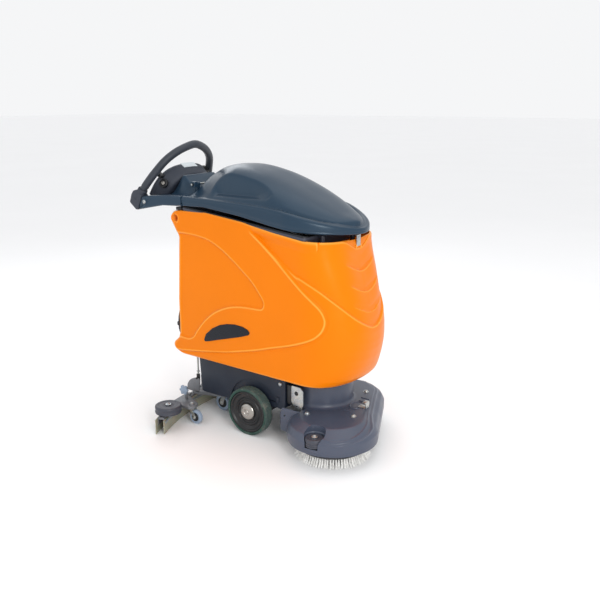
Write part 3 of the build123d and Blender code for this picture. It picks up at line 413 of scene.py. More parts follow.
def prism(pts, a, b, plane="xz", bev=1.0, steps=2):
    """Extrudes a closed 2-D outline from a to b, square to its plane, with rounded rims."""
    a, b = min(a, b), max(a, b)
    bev = min(bev, (b - a) * 0.45)
    layers = []
    if bev > 0:
        for j in range(steps + 1):
            t = math.pi / 2 * j / steps
            layers.append((a + bev * (1 - math.sin(t)), bev * (1 - math.cos(t))))
        layers = [(a + bev * (1 - math.sin(math.pi / 2 * j / steps)), bev * (1 - math.cos(math.pi / 2 * j / steps)))
                  for j in range(steps, -1, -1)]
        top = [(a + b - h, o) for h, o in reversed(layers)]
        layers = layers + top
    else:
        layers = [(a, 0), (b, 0)]
    rings = []
    for h, o in layers:
        Q = offset2(pts, o) if o > 1e-9 else np.array(pts, float)
        if plane == "xz":
            rings.append(np.stack([Q[:, 0], np.full(len(Q), h), Q[:, 1]], 1))
        elif plane == "xy":
            rings.append(np.stack([Q[:, 0], Q[:, 1], np.full(len(Q), h)], 1))
        else:
            rings.append(np.stack([np.full(len(Q), h), Q[:, 0], Q[:, 1]], 1))
    R = np.array(rings)
    v, f = grid(R, cv=True)
    n = R.shape[1]
    f.append(list(range(n)))
    f.append(list(range((len(rings) - 1) * n, len(rings) * n))[::-1])
    return v, f


def rbox(x0, x1, y0, y1, z0, z1, bev=1.5, r=None):
    """A box with rounded rims, standing along Z."""
    r = bev * 1.6 if r is None else r
    return prism(fillet([(x0, y0), (x1, y0), (x1, y1), (x0, y1)], r, 4), z0, z1, "xy", bev, 3)


def basis_for(d):
    d = Vector(d).normalized()
    h = Vector((0, 0, 1)) if abs(d.z) < 0.9 else Vector((1, 0, 0))
    x = h.cross(d).normalized()
    return x, d.cross(x), d


def revolve(prof, o, d, n=48, wave=None):
    """Turns a closed profile of (radius, height) about an axis."""
    x, y, z = (np.array(q) for q in basis_for(d))
    o = np.array(o, float)
    R = []
    for i in range(n):
        t = 2 * math.pi * i / n
        c = x * math.cos(t) + y * math.sin(t)
        ring = []
        for r, h in prof:
            k = wave(t, r, h) if wave else 0.0
            ring.append(o + c * (r + k) + z * h)
        R.append(ring)
    return grid(np.array(R), cu=True, cv=True)


def rprof(pts, r, k=3):
    """A turned profile with its corners eased, except on the axis."""
    rad = [0 if p[0] < 0.01 else r for p in pts]
    return [(max(0.0, a), b) for a, b in fillet(pts, rad, k)]


def disc_screw(o, d, r=8.0, h=5.0, hexr=0.0):
    """Domed screw head with a socket."""
    prof = [(0, -1.5), (r, -1.5), (r, 0.6), (r * 0.93, h * 0.45), (r * 0.72, h * 0.78), (r * 0.45, h * 0.96), (r * 0.3, h),
            (r * 0.26, h * 0.7), (0, h * 0.62)]
    return revolve(prof, o, d, 28)


def tube(path, r, n=20, cap=True, rad=None, up=(0, 1, 0), flat=1.0):
    """A round tube along points, with a steady frame."""
    P = np.array(path, float)
    T = np.gradient(P, axis=0)
    T /= np.linalg.norm(T, axis=1)[:, None]
    N = np.array(up, float)
    rings = []
    for i, (p, t) in enumerate(zip(P, T)):
        N = N - t * (N @ t)
        ln = np.linalg.norm(N)
        if ln < 1e-6:
            N = np.array((1.0, 0, 0)) - t * t[0]
            ln = np.linalg.norm(N)
        N = N / ln
        Bn = np.cross(t, N)
        rr = r if rad is None else rad[i]
        a = np.linspace(0, 2 * np.pi, n, endpoint=False)
        rings.append(p + rr * (np.cos(a)[:, None] * N * flat + np.sin(a)[:, None] * Bn))
    R = np.array(rings)
    v, f = grid(R, cv=True)
    if cap:
        f.append(list(range(n))[::-1])
        f.append(list(range((len(P) - 1) * n, len(P) * n)))
    return v, f


def spline(pts, n):
    """Catmull-Rom through points, evenly spaced by length."""
    P = np.array(pts, float)
    Q = np.concatenate([[2 * P[0] - P[1]], P, [2 * P[-1] - P[-2]]])
    out = []
    for i in range(1, len(Q) - 2):
        p0, p1, p2, p3 = Q[i - 1:i + 3]
        for t in np.linspace(0, 1, 16, endpoint=False):
            out.append(0.5 * (2 * p1 + (p2 - p0) * t + (2 * p0 - 5 * p1 + 4 * p2 - p3) * t * t
                              + (3 * p1 - p0 - 3 * p2 + p3) * t ** 3))
    out.append(P[-1])
    out = np.array(out)
    s = np.concatenate([[0], np.cumsum(np.linalg.norm(np.diff(out, axis=0), axis=1))])
    u = np.linspace(0, s[-1], n)
    return np.stack([np.interp(u, s, out[:, k]) for k in range(out.shape[1])], 1)


def seg_dist(px, pz, line):
    """Distance from points to a polyline, and the side they lie on."""
    L = np.asarray(line, float)
    best = np.full(px.shape, 1e9)
    side = np.zeros(px.shape)
    along = np.zeros(px.shape)
    s0 = 0.0
    for (x0, z0), (x1, z1) in zip(L[:-1], L[1:]):
        dx, dz = x1 - x0, z1 - z0
        ll = dx * dx + dz * dz
        if ll < 1e-9:
            continue
        t = np.clip(((px - x0) * dx + (pz - z0) * dz) / ll, 0, 1)
        ex, ez = px - (x0 + t * dx), pz - (z0 + t * dz)
        d = np.sqrt(ex * ex + ez * ez)
        m = d < best - 1e-7
        best[m] = d[m]
        side[m] = np.sign(dx * ez - dz * ex)[m]
        along[m] = (s0 + t * math.sqrt(ll))[m]
        s0 += math.sqrt(ll)
    return best, side, along


def inside(px, pz, poly):
    """Even-odd test for many points."""
    c = np.zeros(px.shape, bool)
    n = len(poly)
    for i in range(n):
        x0, z0 = poly[i]
        x1, z1 = poly[(i + 1) % n]
        if z0 == z1:
            continue
        cr = ((z0 > pz) != (z1 > pz)) & (px < (x1 - x0) * (pz - z0) / (z1 - z0) + x0)
        c ^= cr
    return c


def signed(px, pz, poly):
    d, _, _ = seg_dist(px, pz, list(poly) + [poly[0]])
    return np.where(inside(px, pz, poly), d, -d)


# ------------------------------------------------------------------ orange tank
NOSE_Z = np.array([267, 271, 277, 286, 300, 320, 345, 380, 420, 450, 490, 545, 600, 655, 710, 760, 800, 840.0])
NOSE_X = np.array([380, 402, 418, 432, 445, 454, 462, 471, 478, 480, 479, 472, 459, 443, 426, 410, 401, 399.0])
REAR_Z = np.array([283, 289, 297, 306, 314, 322, 331, 342, 354, 375, 400, 520, 740, 786, 796, 846, 856, 865, 874, 882, 888, 892, 896])
REAR_X = np.array([-342, -358, -374, -385, -390, -391, -387, -374, -361, -355, -354, -354, -341, -338, -341, -371.5, -374, -375,
                   -373.5, -369.8, -364.5, -358, -345.0])
Z_NOSE = 267.6
TOP_X = np.array([-380, -345, -318, -290, -182, -7, 135, 286, 402, 500.0])
TOP_Z = np.array([895.5, 896, 896.5, 897.4, 899, 879, 854, 831, 826, 826.0])
N_SIDE, N_NOSE, N_CORN = 150, 104, 7
NOSE_X0 = 238.0


def zb(x):
    return np.interp(x, [-420, -247, 239, 330, 500], [286.0, 282.4, 272.2, 267.6, 267.6])


def nose_half(x0, xa, half, p, n):
    """Plan of one half of the nose from the side to the centre, evenly spaced."""
    th = np.linspace(0, np.pi / 2, 260)
    y = half * np.cos(th) ** (2 / p)
    x = x0 + (xa - x0) * np.sin(th) ** (2 / p)
    s = np.concatenate([[0], np.cumsum(np.hypot(np.diff(x), np.diff(y)))])
    u = np.linspace(0, s[-1], n)
    return np.interp(u, s, x), np.interp(u, s, y), s[-1] - u


def tank_rows(inset=0.0, fr=None):
    rows, srow = [], []
    for g, extra in fr:
        z_rear = 283 + (896 - 283) * g
        z_nose = Z_NOSE + (826 - Z_NOSE) * g
        h = (z_nose - Z_NOSE)
        R = 17.0
        ins = inset + extra
        if h < R:
            ins += R - math.sqrt(max(R * R - (R - h) ** 2, 0))
        xr = np.interp(z_rear, REAR_Z, REAR_X) + inset + extra
        xa = np.interp(z_nose, NOSE_Z, NOSE_X) - inset - extra
        p = np.interp(z_nose, [267, 600, 700, 770], [2.45, 2.45, 2.55, 2.55])
        half = 210.0 - ins
        rc = 20.0
        a = np.linspace(0, np.pi / 2, N_CORN)
        cx_ = xr + rc - rc * np.cos(a)
        cy_ = half - rc + rc * np.sin(a)
        sx = np.linspace(xr + rc, NOSE_X0, N_SIDE)[1:-1]
        nx, ny, ns = nose_half(NOSE_X0, xa, half, p, N_NOSE)
        x = np.concatenate([cx_, sx, nx])
        y = np.concatenate([cy_, np.full(len(sx), half), ny])
        s = np.concatenate([np.full(len(cx_) + len(sx), ns[0]) + (NOSE_X0 - np.concatenate([cx_, sx])), ns])
        zt = np.interp(x, TOP_X, TOP_Z)
        dip = 36.0 * (1 - sm(0, 1, np.clip((np.abs(y) - 8) / 100.0, 0, 1))) * (x > 330)
        zt = zt - dip
        z = zb(x) + (zt - zb(x)) * g
        rows.append(np.stack([x, -y, z], 1))
        srow.append(s)
    return np.array(rows), np.array(srow)


fr = []
hh = [0, 0.5, 1.6, 3.4, 5.8, 8.8, 12.5, 17.0, 20.5]
H = 826 - Z_NOSE
for q in hh:
    fr.append((q / H, 0.0))
q = 24.0
while q < H - 6.5:
    fr.append((q / H, 0.0))
    q += 3.7
fr += [((H - 5.0) / H, 0.0), ((H - 2.6) / H, 0.6), ((H - 1.0) / H, 1.8), (1.0, 4.2)]
rows, srow = tank_rows(0.0, fr)
X, Y, Z = rows[..., 0], rows[..., 1], rows[..., 2]

leaf = [(-420, 812), (-329, 806), (-250, 803), (-178, 792), (-120, 768), (-69, 736), (-16, 697), (36, 655), (66, 622), (93, 586),
        (98, 568), (92, 554), (77, 549), (30, 548), (-9, 546), (-55, 539), (-98, 526), (-148, 502), (-192, 469), (-226, 434),
        (-253, 400), (-268, 378), (-290, 366), (-317, 365), (-420, 372)]
big = [(102, 842), (150, 802), (202, 751), (245, 703), (290, 655), (333, 612), (358, 583), (368, 556), (368, 530), (356, 502),
       (336, 479), (312, 462), (262, 440), (200, 418), (137, 399), (60, 374), (-20, 353), (-82, 338), (-200, 318), (-320, 301),
       (-420, 296), (-420, 960), (60, 960)]
leaf = [tuple(p) for p in spline(leaf, 170)]
bigl = [tuple(p) for p in spline(big[:-2], 200)] + big[-2:]
sd = signed(X, Z, leaf)
d_leaf = -6.2 * sm(-3.0, 3.6, sd) + 1.5 * np.exp(-((sd + 4.0) / 3.6) ** 2)
# a rounded bead runs just inside the upper edge of the hollow
SXc = X.copy()
s_at = lambda x: np.interp(x, X[60][::-1] if X[60][0] > X[60][-1] else X[60], srow[60])
big_s = [(float(np.interp(px_, X[70], srow[70])) if px_ > -300 else float(srow[70][0] + 60), pz_) for px_, pz_ in bigl]
sdb = signed(srow, Z, big_s)
d_big = -4.6 * (1 - sm(-5.0, 2.6, sdb))
d_big += 1.7 * np.exp(-((sdb - 4.0) / 4.0) ** 2)
d_big -= 1.8 * np.exp(-((sdb + 7.0) / 5.5) ** 2)
crease = [(s_at(102.0) + 0.0, 846), (s_at(202.0), 762), (s_at(268.0), 704), (s_at(306.0), 688), (238, 652), (178, 603), (132, 562),
          (96, 534), (58, 512), (26, 499), (-1, 495)]
crease = [tuple(p) for p in spline(crease, 120)]
dc, sc, _ = seg_dist(srow, Z, crease)
up = np.where(sc > 0, dc, -dc)
if up[-1, -1] < 0:
    up = -up
lim = (srow < s_at(102.0) + 4)
d_cr = -9.0 * sm(-1.5, 5.0, up) * np.exp(-np.clip(up, 0, None) / 95.0) * lim
d_gr = np.zeros_like(Z)
for z0, amp in ((706, 11.0), (629, 11.5), (553, 11.0)):
    zl = z0 + 34.0 * (np.sqrt((srow / 66.0) ** 2 + 0.5) - 0.7071)
    e = Z - zl
    prof = np.where(e < 0, 0.0, np.exp(-np.clip(e - 5, 0, None) / 15.0)) * sm(-1.0, 5.0, e)
    d_gr -= amp * prof * (1 - sm(42, 118, srow))
D = np.maximum(d_leaf + d_big + d_cr + d_gr, -13.0)
# shallow seat for the badge lens
lens = fillet([(-214, 364), (-198, 400), (-163, 430), (-125, 450), (-87, 461), (-46, 466), (-6, 463), (20, 454), (30, 443), (22, 433),
               (-18, 419), (-80, 401), (-140, 384), (-180, 372)], 7, 5)
badge_o = [tuple(q_) for q_ in offset2(lens, -2.2)]
sdg = signed(X, Z, badge_o)
D -= 1.2 * sm(-6.0, -1.0, sdg)
# plan normals, right half
tx = np.gradient(X, axis=1)
ty = np.gradient(Y, axis=1)
ln = np.hypot(tx, ty) + 1e-9
NX, NY = -ty / ln, tx / ln
flip = np.sign(NY[:, N_CORN + 20])[:, None] * -1
NX, NY = NX * flip, NY * flip
NX[:, -1], NY[:, -1] = 1.0, 0.0
edge_fade = sm(0, 16, Z - zb(X))
top_fade = 1 - sm(-46, -8, Z - (np.interp(X, TOP_X, TOP_Z)))
D = D * edge_fade * np.where(X < 330, top_fade, 1.0)
corner = sm(0, 24, X - X[:, :1])
D = D * corner
X2, Y2 = X + NX * D, Y + NY * D
Y2[:, -1] = 0.0
right = np.stack([X2, Y2, Z], 2)
left = right.copy()
left[..., 1] *= -1
ring = np.concatenate([right, left[:, -2::-1]], 1)     # rear right corner -> nose -> rear left corner
v, f = grid(ring, cv=True)
nr, nc = ring.shape[:2]
half_n = right.shape[1]
for base, rev in ((0, True), ((nr - 1) * nc, False)):
    for i in range(half_n - 1):
        a, b_ = base + i, base + i + 1
        c_, d_ = base + nc - 1 - (i + 1), base + nc - 1 - i
        q = [a, b_, c_, d_] if b_ != c_ else [a, b_, d_]
        f.append(q[::-1] if rev else q)
tank = B().add((v, f))
tk = bpy.data.objects.new("orange_tank_shell", tank.mesh("orange_tank_shell"))
scene.collection.objects.link(tk)
ct = B()
ct.add(prism([(-309.5, 960), (-309.5, 598), (-272, 556), (202, 536), (243.5, 598), (285.5, 850), (285.5, 960)][::-1], -194, 194,
             "xz", 0))
wx, wy, _ = nose_half(245, 383, 194.5, 2.7, 30)
wp = [(276.0, -194.0)] + [(a_, -b_) for a_, b_ in zip(wx[1:], wy[1:]) if a_ > 279] + \
     [(a_, b_) for a_, b_ in zip(wx[::-1][1:], wy[::-1][1:]) if a_ > 279] + [(276.0, 194.0)]
ct.add(prism(wp, 789.2, 960, "xy", 0))
ct.add(revolve([(0, 600), (32, 600), (32, 800), (0, 800)], (346, 0, 0), (0, 0, 1), 40))
ct.add(prism([(-296, -146), (132, -146), (132, 146), (-296, 146)], 200, 372, "xy", 0))
ct.add(revolve([(0, 200), (138, 200), (138, 328), (0, 328)], (235, 0, 0), (0, 0, 1), 64))
ct.add(prism([(-297.6, 200), (158.8, 200), (158.8, 282.2), (-297.6, 291.8)], -153.6, 153.6, "xz", 0))
ct.add(prism(fillet([(-420, 250), (-315, 250), (-315, 778), (-338.5, 800), (-338.5, 960), (-420, 960)], [0, 0, 14, 10, 0, 0], 4),
             -145, 145, "xz", 0))
ct.add(prism([(-420, 770), (-338.6, 770), (-338.6, 960), (-420, 960)], -176, 176, "xz", 0))
ct.add(revolve([(0, -340), (23, -340), (23, -290), (0, -290)], (0, -60, 640), (1, 0, 0), 32))
ct.add(revolve([(0, -340), (16.2, -340), (16.2, -290), (0, -290)], (0, 60, 420), (1, 0, 0), 32))
for s in (-1, 1):
    ct.add(revolve([(0, 168), (15, 168), (15, 230), (0, 230)], (-345, 0, 865), (0, s, 0), 40))
tk = cut(tk, ct.mesh("ct"))
finish_piece(tk, "tank_orange", "chassis", replaces=have("solution_tank", "tank_eyes", "tank_nose"), angle=32)

# rims round the lifting eyes, and the latch and filler ears on the nose deck
t2 = B()
for s in (-1, 1):
    t2.add(revolve(rprof([(15, 206), (21.5, 206), (21.5, 210.6), (19.5, 211.8), (17.2, 211.4), (15, 208)], 0.8), (-345, 0, 865),
                   (0, s, 0), 48))
    a, b_ = sorted((s * 14.5, s * 19))
    t2.add(prism(fillet([(381, 788.4), (394, 788.4), (393, 803), (388.5, 806), (383, 803)], 2, 3), a, b_, "xz", 0.8))
    a, b_ = sorted((s * 12.5, s * 17))
    t2.add(prism(fillet([(299, 789.4), (309, 789.4), (308.5, 799), (304.5, 801), (300, 799)], 2, 3), a, b_, "xz", 0.8))
t2.done("tank_eye_rims_and_ears", "tank_orange", "chassis")


# ------------------------------------------------------------------ tub that hangs in the tank, its seal, posts
def tub_top(x, up=0.0):
    return float(np.interp(x, [-312, -182, -7, 135, 288], [897.4, 899.4, 879.4, 854.4, 831.2])) + up


prof_in = fillet([(-301, 602), (-268, 565), (197, 545), (235, 602)], [26, 22, 22, 26], 6, closed=False)
prof_in = [(-301.0, 602.0)] + fillet([(-301, 640), (-301, 602), (-268, 565), (197, 545), (235, 602), (246, 660)],
                                     [0, 24, 22, 22, 24, 0], 6, closed=False)[1:-1] + [(235.0, 602.0)]


def tub_ring(inset, z_mode, t):
    """Plan ring of the tub at inset from its outer wall; t runs 0 at the top to 1 at the floor."""
    out = []
    x0, x1 = -306 + inset, 282 - inset
    xb0, xb1 = -300 + inset, 238 - inset
    f = t
    xr = x0 + (xb0 - x0) * max(0, (f - 0.8) / 0.2)
    xf = x1 + (xb1 - x1) * f
    hy = 190 - inset
    rc = 26
    pts = fillet([(xr, -hy), (xf, -hy), (xf, hy), (xr, hy)], rc, 6)
    return pts


R_ = []
levels = [(0.0, 0.0), (0.0, 0.25), (0.0, 0.5), (0.0, 0.75), (0.0, 0.9), (2.0, 0.95), (7.0, 0.98), (16.0, 0.995), (26.0, 1.0)]
for ins, t in levels:                      # outer skin, downwards
    P_ = []
    for x, y in tub_ring(ins, 0, t):
        zt = tub_top(x, 0.5)
        zf = float(np.interp(x, [-300, 240], [556, 541])) if t > 0 else 0
        zf = float(np.interp(x, [-300, 240], [556, 541]))
        P_.append((x, y, zt + (zf - zt) * t))
    R_.append(P_)
outer_rings = R_
inner_rings = []
for ins, t in levels[::-1]:
    P_ = []
    for x, y in tub_ring(ins + 4.6, 0, t):
        zt = tub_top(x, 12.4)
        zf = float(np.interp(x, [-300, 240], [563, 548]))
        P_.append((x, y, zt + (zf - zt) * t))
    inner_rings.append(P_)
rim = []
for ins, up_ in ((4.6, 12.4), (-3.0, 12.6), (-15.0, 12.6), (-17.4, 11.6), (-18.0, 9.5), (-18.0, 3.0), (-17.0, 0.9), (-14.5, 0.5),
                 (-3.0, 0.5)):
    pts = fillet([(-306 - min(6, -ins) if ins < 0 else -306 + ins, -190 + ins), ((282 - ins if ins > 0 else 282 + min(6, -ins)), -190 + ins),
                  ((282 - ins if ins > 0 else 282 + min(6, -ins)), 190 - ins), (-306 - min(6, -ins) if ins < 0 else -306 + ins, 190 - ins)],
                 26 if ins > 0 else 16, 6)
    rim.append([(x, y, tub_top(x, up_)) for x, y in pts])
rt = B()
allr = outer_rings[::-1] + []
# floor outside -> wall outside (upwards) -> rim (outwards, over the top) -> inner wall down -> inner floor
seq = [r for r in outer_rings[::-1]] + [r for r in rim[::-1]] + [r for r in inner_rings[::-1]]
v, f = grid(np.array(seq), cv=True)
n_ = len(seq[0])
f.append(list(range(n_)))
f.append(list(range((len(seq) - 1) * n_, len(seq) * n_))[::-1])
rt.add((v, f))
ob = bpy.data.objects.new("recovery_tub", rt.mesh("recovery_tub"))
scene.collection.objects.link(ob)
ct = B().add(revolve([(0, -340), (22.4, -340), (22.4, -290), (0, -290)], (0, -60, 640), (1, 0, 0), 32))
ob = cut(ob, ct.mesh("ct"))
finish_piece(ob, "tub_grey", "chassis", replaces=["recovery_tank"], angle=34)
t3 = B()
t3.add(revolve(rprof([(0, 549), (9, 549), (9, 568.5), (4, 569.5), (4, 774.5), (9, 775.5), (9, 780), (0, 781)], 1.2), (30, 0, 0),
               (0, 0, 1), 28))
for s in (-1, 1):
    t3.add(revolve(rprof([(0, 789.3), (10.5, 789.3), (9, 793), (8.6, 842), (6.5, 844.8), (0, 845)], 1.0), (300, s * 110, 0),
                   (0, 0, 1), 28))
    t3.add(rbox(283, 300, s * 110 - 8, s * 110 + 8, 835, 844.6, 1.5))
    for k in range(-1, 2):
        t3.add(rbox(306.5, 310.4, s * 110 - 1.4 + k * 0, s * 110 + 1.4 + k * 0, 792, 838, 0.6))
t3.done("float_post_and_lid_rests", "tub_grey", "chassis")

# seal between tub and lid: two lips round the rim
gs = []
for ins, up_ in ((-16.0, 13.0), (-16.4, 14.6), (-15.0, 16.6), (-12.5, 16.4), (-11.0, 14.9), (-9.0, 14.9), (-7.5, 16.6), (-5.0, 16.8),
                 (-3.0, 15.6), (-2.6, 13.0)):
    pts = fillet([(-306 - min(5, -ins), -190 + ins), (282 + min(5, -ins), -190 + ins), (282 + min(5, -ins), 190 - ins),
                  (-306 - min(5, -ins), 190 - ins)], 15, 6)
    gs.append([(x, y, tub_top(x, up_)) for x, y in pts])
v, f = grid(np.array(gs), cu=True, cv=True)
B().add((v, f)).done("lid_seal", "black_rubber", "chassis", replaces=["tank_gasket"])

# blank lens in its seat, one each side
bd = B()
ins_, hgt = [0, 0, 0.5, 1.4, 2.6], [-207.6, -210.2, -211.3, -211.8, -212.0]
rg = []
for a, b_ in zip(ins_, hgt):
    q_ = offset2(lens, a)
    rg.append(np.stack([q_[:, 0], np.full(len(q_), b_), q_[:, 1]], 1))
v, f = grid(np.array(rg), cv=True)
n_ = len(rg[0])
f.append(list(range(n_)))
f.append(list(range((len(rg) - 1) * n_, len(rg) * n_))[::-1])
bd.add((v, f)).mirror()
bd.done("badge_lenses", "badge_black", "chassis", replaces=["badge_plates"])

# filler cap with a knurled rim
knurl = lambda t, r, h: 0.55 * math.cos(40 * t) if r > 30 and 790.2 < h < 796 else 0.0
fc = B().add(revolve(rprof([(0, 781.5), (24.5, 781.5), (24.5, 790), (35.4, 790), (35.4, 795.8), (31, 797), (26, 795.6), (12, 796.2),
                            (0, 796.4)], 0.8), (346, 0, 0), (0, 0, 1), 240, knurl))
fc.add(rbox(305, 320, -11.5, 11.5, 791.4, 796.4, 1.2))
fc.add(revolve(rprof([(2.6, -11.8), (4.4, -11.8), (4.4, 11.8), (2.6, 11.8)], 0.4), (305, 0, 796), (0, 1, 0), 24))
fc.add(rbox(334, 358, -4, 4, 795.5, 799.5, 1.6))
fc.done("filler_lid_cap", "black_plastic", "filler_lid", replaces=["filler_cap"])

# latch: bent strap with a rolled hook
lt = fillet([(389.2, 797), (391.8, 797), (391.8, 839.4), (390, 841), (383, 841), (383, 838.4), (389.2, 838.2)], [0.8] * 7, 3)
lb = B().add(prism(lt, -14, 14, "xz", 0.8))
lb.add(rbox(391.6, 393.2, -8, 8, 812, 832, 0.6))
lb.add(revolve(rprof([(2.55, -13.8), (4.6, -13.8), (4.6, 13.8), (2.55, 13.8)], 0.4), (388, 0, 800), (0, 1, 0), 24))
lb.done("latch_strap", "zinc", "latch", replaces=["lid_latch"])

# ------------------------------------------------------------------ lid
Z_LOW = lambda x: np.interp(x, [-300, -182, -7, 135, 230, 300, 418], [918, 920, 900, 876, 863, 856, 847])
Z_CR = lambda x: np.interp(x, [-300, -201, -11, 100, 168, 224, 280, 330, 380, 418], [956, 955, 949, 943, 936, 925, 910, 896, 881, 869])
SPX = [-300, -297, -292, -287, -278, -255, -232, -209, -180, -153, -110, -65, -20, 32, 90, 145, 195, 245, 290, 332, 362, 386, 404, 418]
SPZ = [1000, 1019, 1029, 1034, 1040, 1052, 1062, 1069, 1075, 1078.5, 1078.5, 1073.5, 1064.5, 1051, 1030, 1007, 984, 960, 937.5, 917, 905, 895,
       884, 869]
spl = spline(list(zip(SPX, SPZ)), 400)
Z_SP = lambda x: np.interp(x, spl[:, 0], spl[:, 1])
SCOOP = [(-166, 960), (-165, 976), (-158, 1010), (-145, 1030), (-128, 1045), (-97, 1057), (-68, 1058), (-41, 1054), (-10, 1046), (18, 1035),
         (40, 1021), (60, 1006), (80, 992), (100, 977), (104, 960)]


LP, LX0, LXA = 1.7, 190.0, 418.0


def edge_in(x, ay):
    """How far a plan point lies inside the lid's outline."""
    r = np.where(x > LX0, (np.clip((x - LX0) / (LXA - LX0), 0, 1.2) ** LP + (ay / 216.0) ** LP) ** (1 / LP), ay / 216.0)
    return 216.0 * (1 - r)


def lid_z(x, y):
    """Height of the lid's top surface, inside the roll of its edge."""
    ay = np.abs(y)
    zc = Z_CR(x)
    # dome's foot line
    q = np.clip((x - 60.0) / 336.0, 0, 1)
    yd = 206.0 * np.clip(1 - q ** 1.9, 0, 1) ** (1 / 1.8)
    t = np.clip(np.where(yd > 1e-3, ay / np.maximum(yd, 1e-3), 9.0), 0, 1)
    zv = zc - 6.0 - 8.0 * sm(-40, 230, x) * (1 - 0.75 * sm(290, 390, x))
    zs = Z_SP(x)
    k = sm(-290, -100, x)
    h = np.clip(1 - t ** (1.9 + 1.1 * k), 0, 1) ** (2.5 - 1.88 * k)
    z = zv + (zs - zv) * h
    d = edge_in(x, ay)
    # the roll of the edge falls gently into the valley
    w = 1 - sm(16.0, 46.0, d)
    z = np.maximum(z, zv * (1 - w) + zc * w)
    # soft join between valley and dome
    foot = np.abs(ay - yd * 0.985)
    z = z + 3.0 * np.exp(-(foot / 11.0) ** 2) * sm(70, 180, x) * (1 - sm(350, 400, x))
    # finger scallop with a soft brim
    sd_ = signed(x, z, SCOOP)
    k_ = sm(-20.0, 12.0, sd_) * sm(138.0, 166.0, ay)
    zl = np.minimum(z, 976.0 - 0.32 * (ay - 152))
    z = z + (np.minimum(zl, z) - z) * k_
    return z


us = list(np.concatenate([[-300, -299, -297.5, -295.5, -293, -290, -286.5, -282.5], np.arange(-279, LX0, 2.4)]))
stations = [(x, -216.0, x, 0.0) for x in us]
nx_, ny_, _ = nose_half(LX0, LXA, 216, LP, 104)
for a, b_ in zip(nx_, ny_):
    stations.append((a, -b_, LX0 + 0.62 * (a - LX0), 0.0))
wall = [(3.2, 0.0, 0.0), (1.0, 0.0, 1.2), (0.0, 0.0, 3.6), (0.0, 0.0, 7.0), (0.9, 0.0, 8.2), (0.9, 0.0, 9.6), (0.0, 0.0, 10.8), (0.0, .35, 7.0),
        (0.0, .65, 3.0), (0.0, 1.0, 0.0)]
turn = [12, 24, 36, 48, 60, 70, 79, 86]
fracs = [0.0, 0.012, 0.025, 0.04, 0.055, 0.07, 0.085, 0.1, 0.115, 0.13, 0.145, 0.16, 0.175, 0.19, 0.2, 0.21, 0.22, 0.23, 0.24, 0.25, 0.26, 0.27,
         0.282, 0.295, 0.31, 0.325] + list(np.arange(0.343, 0.99, 0.0172)) + [1.0]
G = []
for (xo, yo, xs, ys) in stations:
    L_ = math.hypot(xs - xo, ys - yo)
    ux, uy = (xs - xo) / L_, (ys - yo) / L_
    zl, zc = float(Z_LOW(xo)), float(Z_CR(xo))
    col = []
    R_l = 13.0 + 4.0 * float(sm(80, 220, xo)) - 9.0 * float(sm(290, LXA, xo))
    for o, t, dz in wall:
        top_ = zc - R_l
        z_ = zl + (top_ - zl) * t + dz
        col.append((xo + ux * o, yo + uy * o, min(z_, top_)))
    for a_ in turn:
        ra_ = math.radians(a_)
        o = R_l * (1 - math.cos(ra_))
        col.append((xo + ux * o, yo + uy * o, zc - R_l + R_l * math.sin(ra_)))
    d0 = R_l * 1.06
    d = d0 + (L_ - d0) * np.array(fracs)
    px, py = xo + ux * d, yo + uy * d
    pz = lid_z(px, py)
    # the roll's top leaves level with its arc
    k_ = np.exp(-((d - d0) / 9.0) ** 2)
    pz = pz * (1 - k_) + zc * k_
    col += list(zip(px, py, pz))
    G.append(col)
G = np.array(G)
G[:, -1, 1] = 0.0
left = G[:, ::-1].copy()
left[..., 1] *= -1
full = np.concatenate([G, left[:, 1:]], 1)          # right edge -> spine -> left edge
# the nose stations of the two halves meet along the centre line
v, f = grid(full)
# rear wall, from the first station's arc down to its foot
arc = full[0]
rw = []
for t in np.linspace(0, 1, 14):
    zz = 918 + (arc[:, 2] - 918) * t
    rw.append(np.stack([np.full(len(arc), -300.0), arc[:, 1], zz], 1))
lid = B().add((v, f)).add(grid(np.array(rw)))
ob = bpy.data.objects.new("lid_moulding", lid.mesh("lid_moulding", 0.06))
scene.collection.objects.link(ob)
so = ob.modifiers.new("wall", "SOLIDIFY")
so.thickness = 0.0048
so.offset = -1.0
so.use_even_offset = False
dg = bpy.context.evaluated_depsgraph_get()
me = bpy.data.meshes.new_from_object(ob.evaluated_get(dg))
ob.modifiers.clear()
ob.data = me
finish_piece(ob, "blue_grey", "lid", replaces=["lid_shell"], angle=40)
lk = B()
for s in (-1, 1):
    a, b_ = sorted((s * 117.4, s * 140.6))
    lk.add(revolve(rprof([(4.2, a), (12, a), (12, b_), (4.2, b_)], 1.0), (-311, 0, 995), (0, 1, 0), 40))
    lk.add(rbox(-309, -297, a, b_, 984, 1006, 1.5))
# stiffening ribs under the crown
for x in (-210, -130, -50, 30, 110, 190):
    pts = []
    for y in np.linspace(-118, 118, 25):
        pts.append((y, float(lid_z(np.array([float(x)]), np.array([y]))[0]) - 4.0))
    low = [(y, z - 12.0) for y, z in pts[::-1]]
    R2 = []
    for h_, o_ in ((x - 1.4, 0.0), (x + 1.4, 0.0)):
        q_ = np.array(pts + low)
        R2.append(np.stack([np.full(len(q_), h_), q_[:, 0], q_[:, 1]], 1))
    v, f = grid(np.array(R2), cv=True)
    n_ = len(R2[0])
    f.append(list(range(n_)))
    f.append(list(range(n_, 2 * n_))[::-1])
    lk.add((v, f))
lk.done("lid_knuckles_and_ribs", "blue_grey", "lid")

